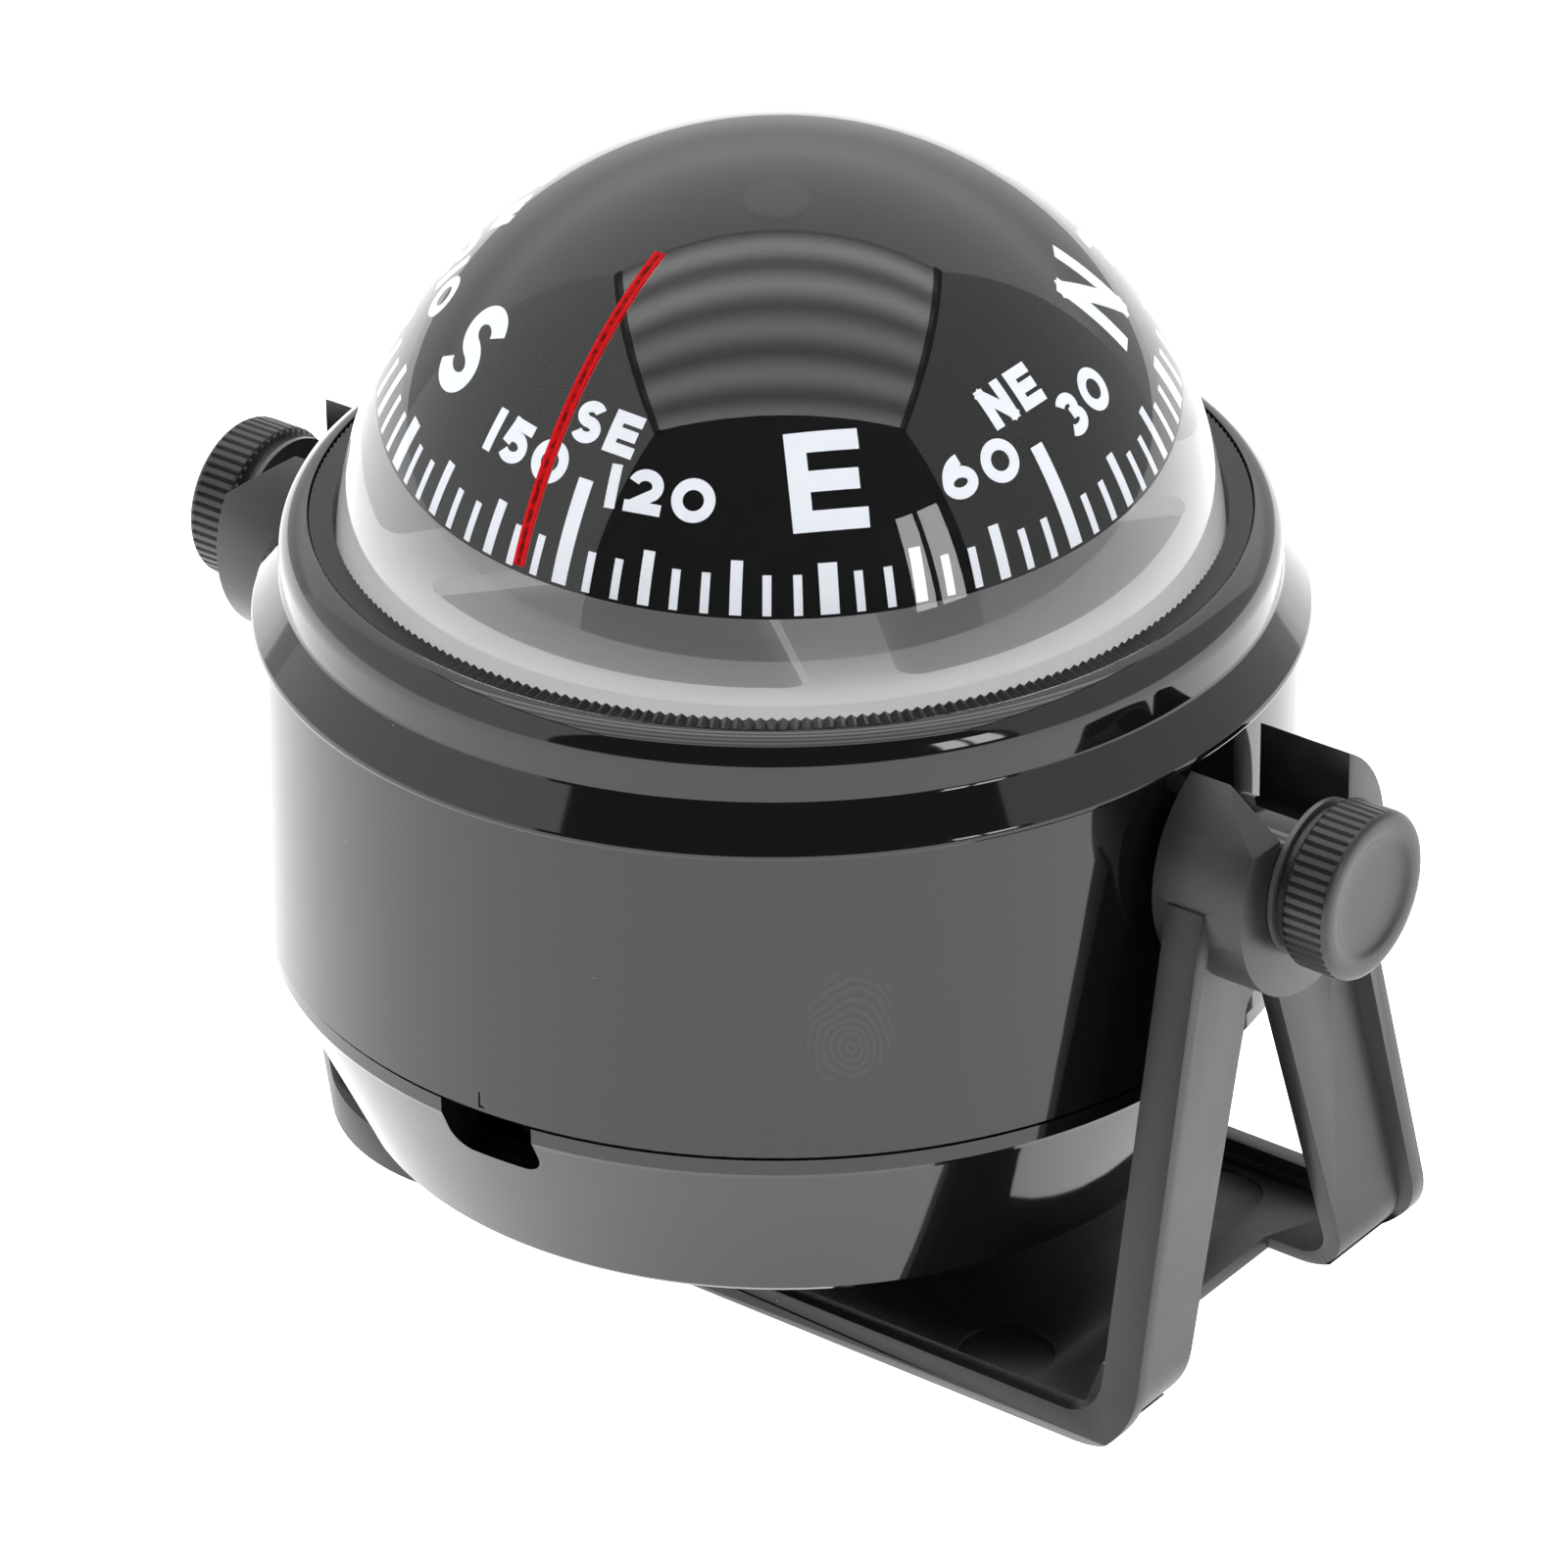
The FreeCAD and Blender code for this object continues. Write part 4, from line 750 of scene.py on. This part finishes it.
knobShape = {  # radius and place along the axis in millimetres, from the back
    "outline": [(0, 0), (5.5, 0), (5.7, 0.12), (5.7, 0.62), (5.85, 0.8), (6.25, 0.95), (6.5, 1.12),
                (6.57, 1.3), (6.57, 1.35), (6.57, 4.25), (6.57, 4.3), (6.54, 4.5), (6.42, 4.72),
                (6.2, 4.87), (5.9, 4.94), (5.5, 4.95), (4.95, 4.92),
                (4.75, 4.84), (4.55, 4.70), (4.3, 4.58), (3.8, 4.50), (2.6, 4.46), (1.3, 4.45), (0, 4.45)],
    "ribbedFrom": 6.45,         # radius
    "ribTop": 4.45,
    "ribs": 50,
    "perRib": 8,
    "ribDepth": 0.26,
    "ribShare": 0.1,            # makes the ribs wider than the grooves between them
    "groovePower": 0.7,
}


def makeKnob(side, shape):
    node = ("right" if side > 0 else "left") + "_knob"
    low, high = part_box(node)
    back = low.x if side > 0 else -high.x
    steps = shape["ribs"] * shape["perRib"]
    outline = [(r * mm, z * mm) for r, z in shape["outline"]]
    knob = lathe(node.replace("knob", "thumb_screw"), outline, steps)
    for vertex in knob.data.vertices:
        radius = math.hypot(vertex.co.x, vertex.co.y)
        if radius > shape["ribbedFrom"] * mm and vertex.co.z < shape["ribTop"] * mm:
            turn = math.atan2(vertex.co.y, vertex.co.x) / (2 * math.pi) * shape["ribs"]
            groove = max(0.0, math.cos(2 * math.pi * turn) - shape["ribShare"]) / (1 - shape["ribShare"])
            scale = 1 - shape["ribDepth"] * mm * groove ** shape["groovePower"] / radius
            vertex.co.x *= scale
            vertex.co.y *= scale
    middle = (low + high) / 2
    activate(knob)
    bpy.ops.transform.rotate(value=math.radians(-90 * side), orient_axis="Y", center_override=(0, 0, 0))
    bpy.ops.transform.translate(value=(back * side, 0, middle.z))
    settle(knob, knob.name)
    editAll(knob)
    bpy.ops.mesh.normals_make_consistent(inside=False)
    leaveEdit()
    smooth(knob, 40)
    dress(finishes["matte"], knob)
    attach(knob, frame["nodes"][node]["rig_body"])
    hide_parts(node)


makeKnob(1, knobShape)
makeKnob(-1, knobShape)
print("thumb screws made")


# The moulded bracket with its edges rounded

bracketShape = {"name": "soft_bracket", "edge": 0.28 * mm}

bracketPiece = softened("bracket", bracketShape["name"], bracketShape["edge"])
dress(finishes["matte"], bracketPiece)
print("bracket softened:", len(bracketPiece.data.polygons), "faces")


# Frosted film under the floor's windows

filmShape = {"inner": 8.2, "outer": 25.0, "top": 55.1, "thick": 0.2, "steps": 128}


def makeFilm(shape):
    low = shape["top"] - shape["thick"]
    outline = [(shape["inner"], low), (shape["outer"], low), (shape["outer"], shape["top"]),
               (shape["inner"], shape["top"]), (shape["inner"], low)]
    film = lathe("window_film", [(r * mm, z * mm) for r, z in outline], shape["steps"])
    dress(finishes["film"], film)
    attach(film, "compass_body")


makeFilm(filmShape)
print("film made")


# Painted shade: a black sheet behind the notch, so that nothing shines in it

notchShadeShape = {"radius": 33.0, "azimuth": -86.5, "halfTurn": 14.0, "low": 19.0, "high": 24.5, "steps": 16}


def makeNotchShade(shape):
    selectNothing()
    bpy.ops.mesh.primitive_grid_add(x_subdivisions=shape["steps"], y_subdivisions=1, size=1)
    shadeSheet = bpy.context.object
    for vertex in shadeSheet.data.vertices:
        turn = math.radians(shape["azimuth"] + 2 * vertex.co.x * shape["halfTurn"])
        height = shape["low"] + (vertex.co.y + 0.5) * (shape["high"] - shape["low"])
        vertex.co = Vector((math.cos(turn) * shape["radius"], math.sin(turn) * shape["radius"], height)) * mm
    settle(shadeSheet, "notch_painted_shade")
    applyModifier(shadeSheet, "SOLIDIFY", thickness=0.2 * mm, offset=-1.0)
    dress(finishes["dark"], shadeSheet)
    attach(shadeSheet, "compass_body")


makeNotchShade(notchShadeShape)


# White print on the card: ticks, numbers and letters as thin raised strokes

cardPrint = {
    "eastAzimuth": -45.0,       # where east stands at rest, from above
    "tickFoot": 71.75,          # angles from the card's apex, in degrees
    "shortTop": 65.6,
    "middleTop": 63.5,
    "longTop": 55.5,
    "cardinalTop": 64.0,
    "shortWidth": 0.60 * mm,
    "middleWidth": 0.82 * mm,
    "longWidth": 1.15 * mm,
    "cardinalWidth": 1.30 * mm,
    "thickness": 0.03 * mm,
    "lift": 0.004 * mm,         # each stroke lies a hair above the last one, as ink does
    "layers": 5,
    "stretch": 0.6 * mm,        # the longest straight part of a stroke
    "letterGap": (0.55, 0.05),  # shares of the stroke and of the height
    "strokeEnd": 0.45,          # how far a slanted stroke runs past its end, as a share of its width
}

glyphs = {  # strokes in a box one high; arcs are (centre x, centre y, radius x, radius y, from, to)
    "0": (1.02, [("arc", 0.51, 0.50, 0.51, 0.50, 0, 360)]),
    "1": (0.00, [[(0, 0), (0, 1)]]),
    "2": (0.86, [("arc", 0.43, 0.66, 0.40, 0.34, 165, -40, (0.04, 0.0)), [(0.0, 0), (0.88, 0)]]),
    "3": (0.78, [("arc", 0.37, 0.75, 0.33, 0.25, 145, -90), ("arc", 0.37, 0.26, 0.39, 0.26, 90, -145)]),
    "4": (0.80, [[(0.60, 0), (0.60, 1)], [(0.60, 1), (0.0, 0.30)], [(0.0, 0.30), (0.80, 0.30)]]),
    "5": (0.80, [[(0.74, 1), (0.15, 1)], [(0.17, 1), (0.08, 0.52)],
                 ("arc", 0.38, 0.32, 0.41, 0.32, 130, -140)]),
    "6": (0.88, [("arc", 0.44, 0.32, 0.43, 0.32, 0, 360), ("arc", 0.70, 0.30, 0.68, 0.70, 175, 95)]),
    "E": (0.70, [[(0, 0), (0, 1)], [(0, 1), (0.68, 1)], [(0, 0.5), (0.64, 0.5)], [(0, 0), (0.72, 0)]]),
    "N": (0.74, [[(0, 0), (0, 1)], [(0, 1), (0.74, 0)], [(0.74, 0), (0.74, 1)]]),
    "S": (0.68, [("arc", 0.34, 0.75, 0.32, 0.25, 30, 270), ("arc", 0.34, 0.25, 0.34, 0.25, 90, -155)]),
    "W": (1.10, [[(0, 1), (0.27, 0)], [(0.27, 0), (0.55, 1)], [(0.55, 1), (0.83, 0)],
                 [(0.83, 0), (1.10, 1)]]),
}

labels = [  # words, degrees clockwise from east as the card reads, polar angle, height, stroke
    (["E"], [-1.2], 51.7, 6.9 * mm, 1.45 * mm),
    (["S", "W", "N"], [90, 180, 270], 50.4, 6.6 * mm, 1.45 * mm),
    (["SE", "SW", "NW", "NE"], [45, 135, 225, 314], 47.4, 3.0 * mm, 0.80 * mm),
    (["120", "150", "210", "240", "300", "330", "30", "60"], [30, 60, 120, 150, 210, 240, 298, 328.5],
     55.0, 3.05 * mm, 0.80 * mm),
]


def strokePath(stroke):
    if stroke[0] != "arc":
        return [Vector((*point, 0)) for point in stroke]
    x, y, wide, high, start, end = stroke[1:7]
    count = max(6, round(abs(end - start) / 9))
    points = []
    for i in range(count + 1):
        angle = math.radians(start + (end - start) * i / count)
        points.append(Vector((x + wide * math.cos(angle), y + high * math.sin(angle), 0)))
    for tail in stroke[7:]:
        points.append(Vector((*tail, 0)))
    return points


def split(points, longest):  # no stretch longer than this
    result = [points[0]]
    for here, there in zip(points, points[1:]):
        parts = max(1, math.ceil((there - here).length / longest))
        result += [here.lerp(there, k / parts) for k in range(1, parts + 1)]
    return result


def layStroke(points, width, face):  # a flat band along the points, put on the card by face
    points = split(points, cardPrint["stretch"])
    closed = (points[0] - points[-1]).length < tiny
    selectNothing()
    bpy.ops.mesh.primitive_grid_add(x_subdivisions=2, y_subdivisions=len(points) - 1, size=1)
    band = bpy.context.object
    for row, point in enumerate(points):
        before = points[row - 1] if row else (points[-2] if closed else point)
        after = points[row + 1] if row < len(points) - 1 else (points[1] if closed else point)
        along = (after - before).normalized()
        side = Vector((-along.y, along.x, 0)) * (width / 2)
        for column in range(3):
            band.data.vertices[row * 3 + column].co = face(point + side * (1 - column))
    return band


def cardFace(azimuth, polarAngle, radius):  # flat print coordinates to the round card
    a = math.radians(azimuth)
    t = math.radians(polarAngle)
    outward = Vector((math.sin(t) * math.cos(a), math.sin(t) * math.sin(a), math.cos(t)))
    rightward = Vector((-math.sin(a), math.cos(a), 0))
    upward = outward.cross(rightward)

    def put(point):
        spot = (outward * radius + rightward * point.x + upward * point.y).normalized() * radius
        return spot + Vector((0, 0, ballCentre))

    return put


def ticks(settings):
    for step in range(72):
        turn = step * 5
        top, width = settings["shortTop"], settings["shortWidth"]
        if turn % 90 == 0:
            top, width = settings["cardinalTop"], settings["cardinalWidth"]
        elif turn % 45 == 0:
            top, width = settings["longTop"], settings["longWidth"]
        elif turn % 15 == 0:
            top, width = settings["middleTop"], settings["middleWidth"]
        foot = settings["tickFoot"]
        yield settings["eastAzimuth"] - turn, (top + foot) / 2, foot - top, width


def wordStrokes(word, height, stroke):  # strokes of a word, centred, with their real sizes
    scale = height - stroke
    widths = [glyphs[letter][0] * scale + stroke for letter in word]
    gap = cardPrint["letterGap"][0] * stroke + cardPrint["letterGap"][1] * height
    total = sum(widths) + gap * (len(word) - 1)
    x = -total / 2
    for letter, width in zip(word, widths):
        for part in glyphs[letter][1]:
            path = [Vector((x + stroke / 2 + point.x * scale, (point.y - 0.5) * scale, 0))
                    for point in strokePath(part)]
            if part[0] != "arc" and letter != "W":
                way = (path[-1] - path[0]).normalized()
                past = stroke / 2 if abs(way.y) > 0.95 else stroke * cardPrint["strokeEnd"]
                path[0] = path[0] - way * past
                path[-1] = path[-1] + way * past
            yield path
        x += width + gap


def makePrint(settings):
    low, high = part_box("compass_card")
    edgeRadius = high.x
    radius = math.hypot(edgeRadius, low.z - ballCentre)
    bands = []
    for azimuth, middle, length, width in ticks(settings):
        half = math.radians(length) * radius / 2
        path = [Vector((0, -half, 0)), Vector((0, half, 0))]
        bands.append(layStroke(path, width, cardFace(azimuth, middle, radius)))
    count = 0
    for words, turns, middle, height, stroke in labels:
        for word, turn in zip(words, turns):
            for path in wordStrokes(word, height, stroke):
                count += 1
                lifted = radius + settings["lift"] * (1 + count % settings["layers"])
                face = cardFace(settings["eastAzimuth"] - turn, middle, lifted)
                bands.append(layStroke(path, stroke, face))
    selectNothing()
    for band in bands:
        band.select_set(True)
    bpy.context.view_layer.objects.active = bands[0]
    bpy.ops.object.join()
    printed = bpy.context.object
    settle(printed, "card_print")
    applyModifier(printed, "SOLIDIFY", thickness=settings["thickness"], offset=1.0)
    dress(finishes["print"], printed)
    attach(printed, "card")


makePrint(cardPrint)
print("card printed")
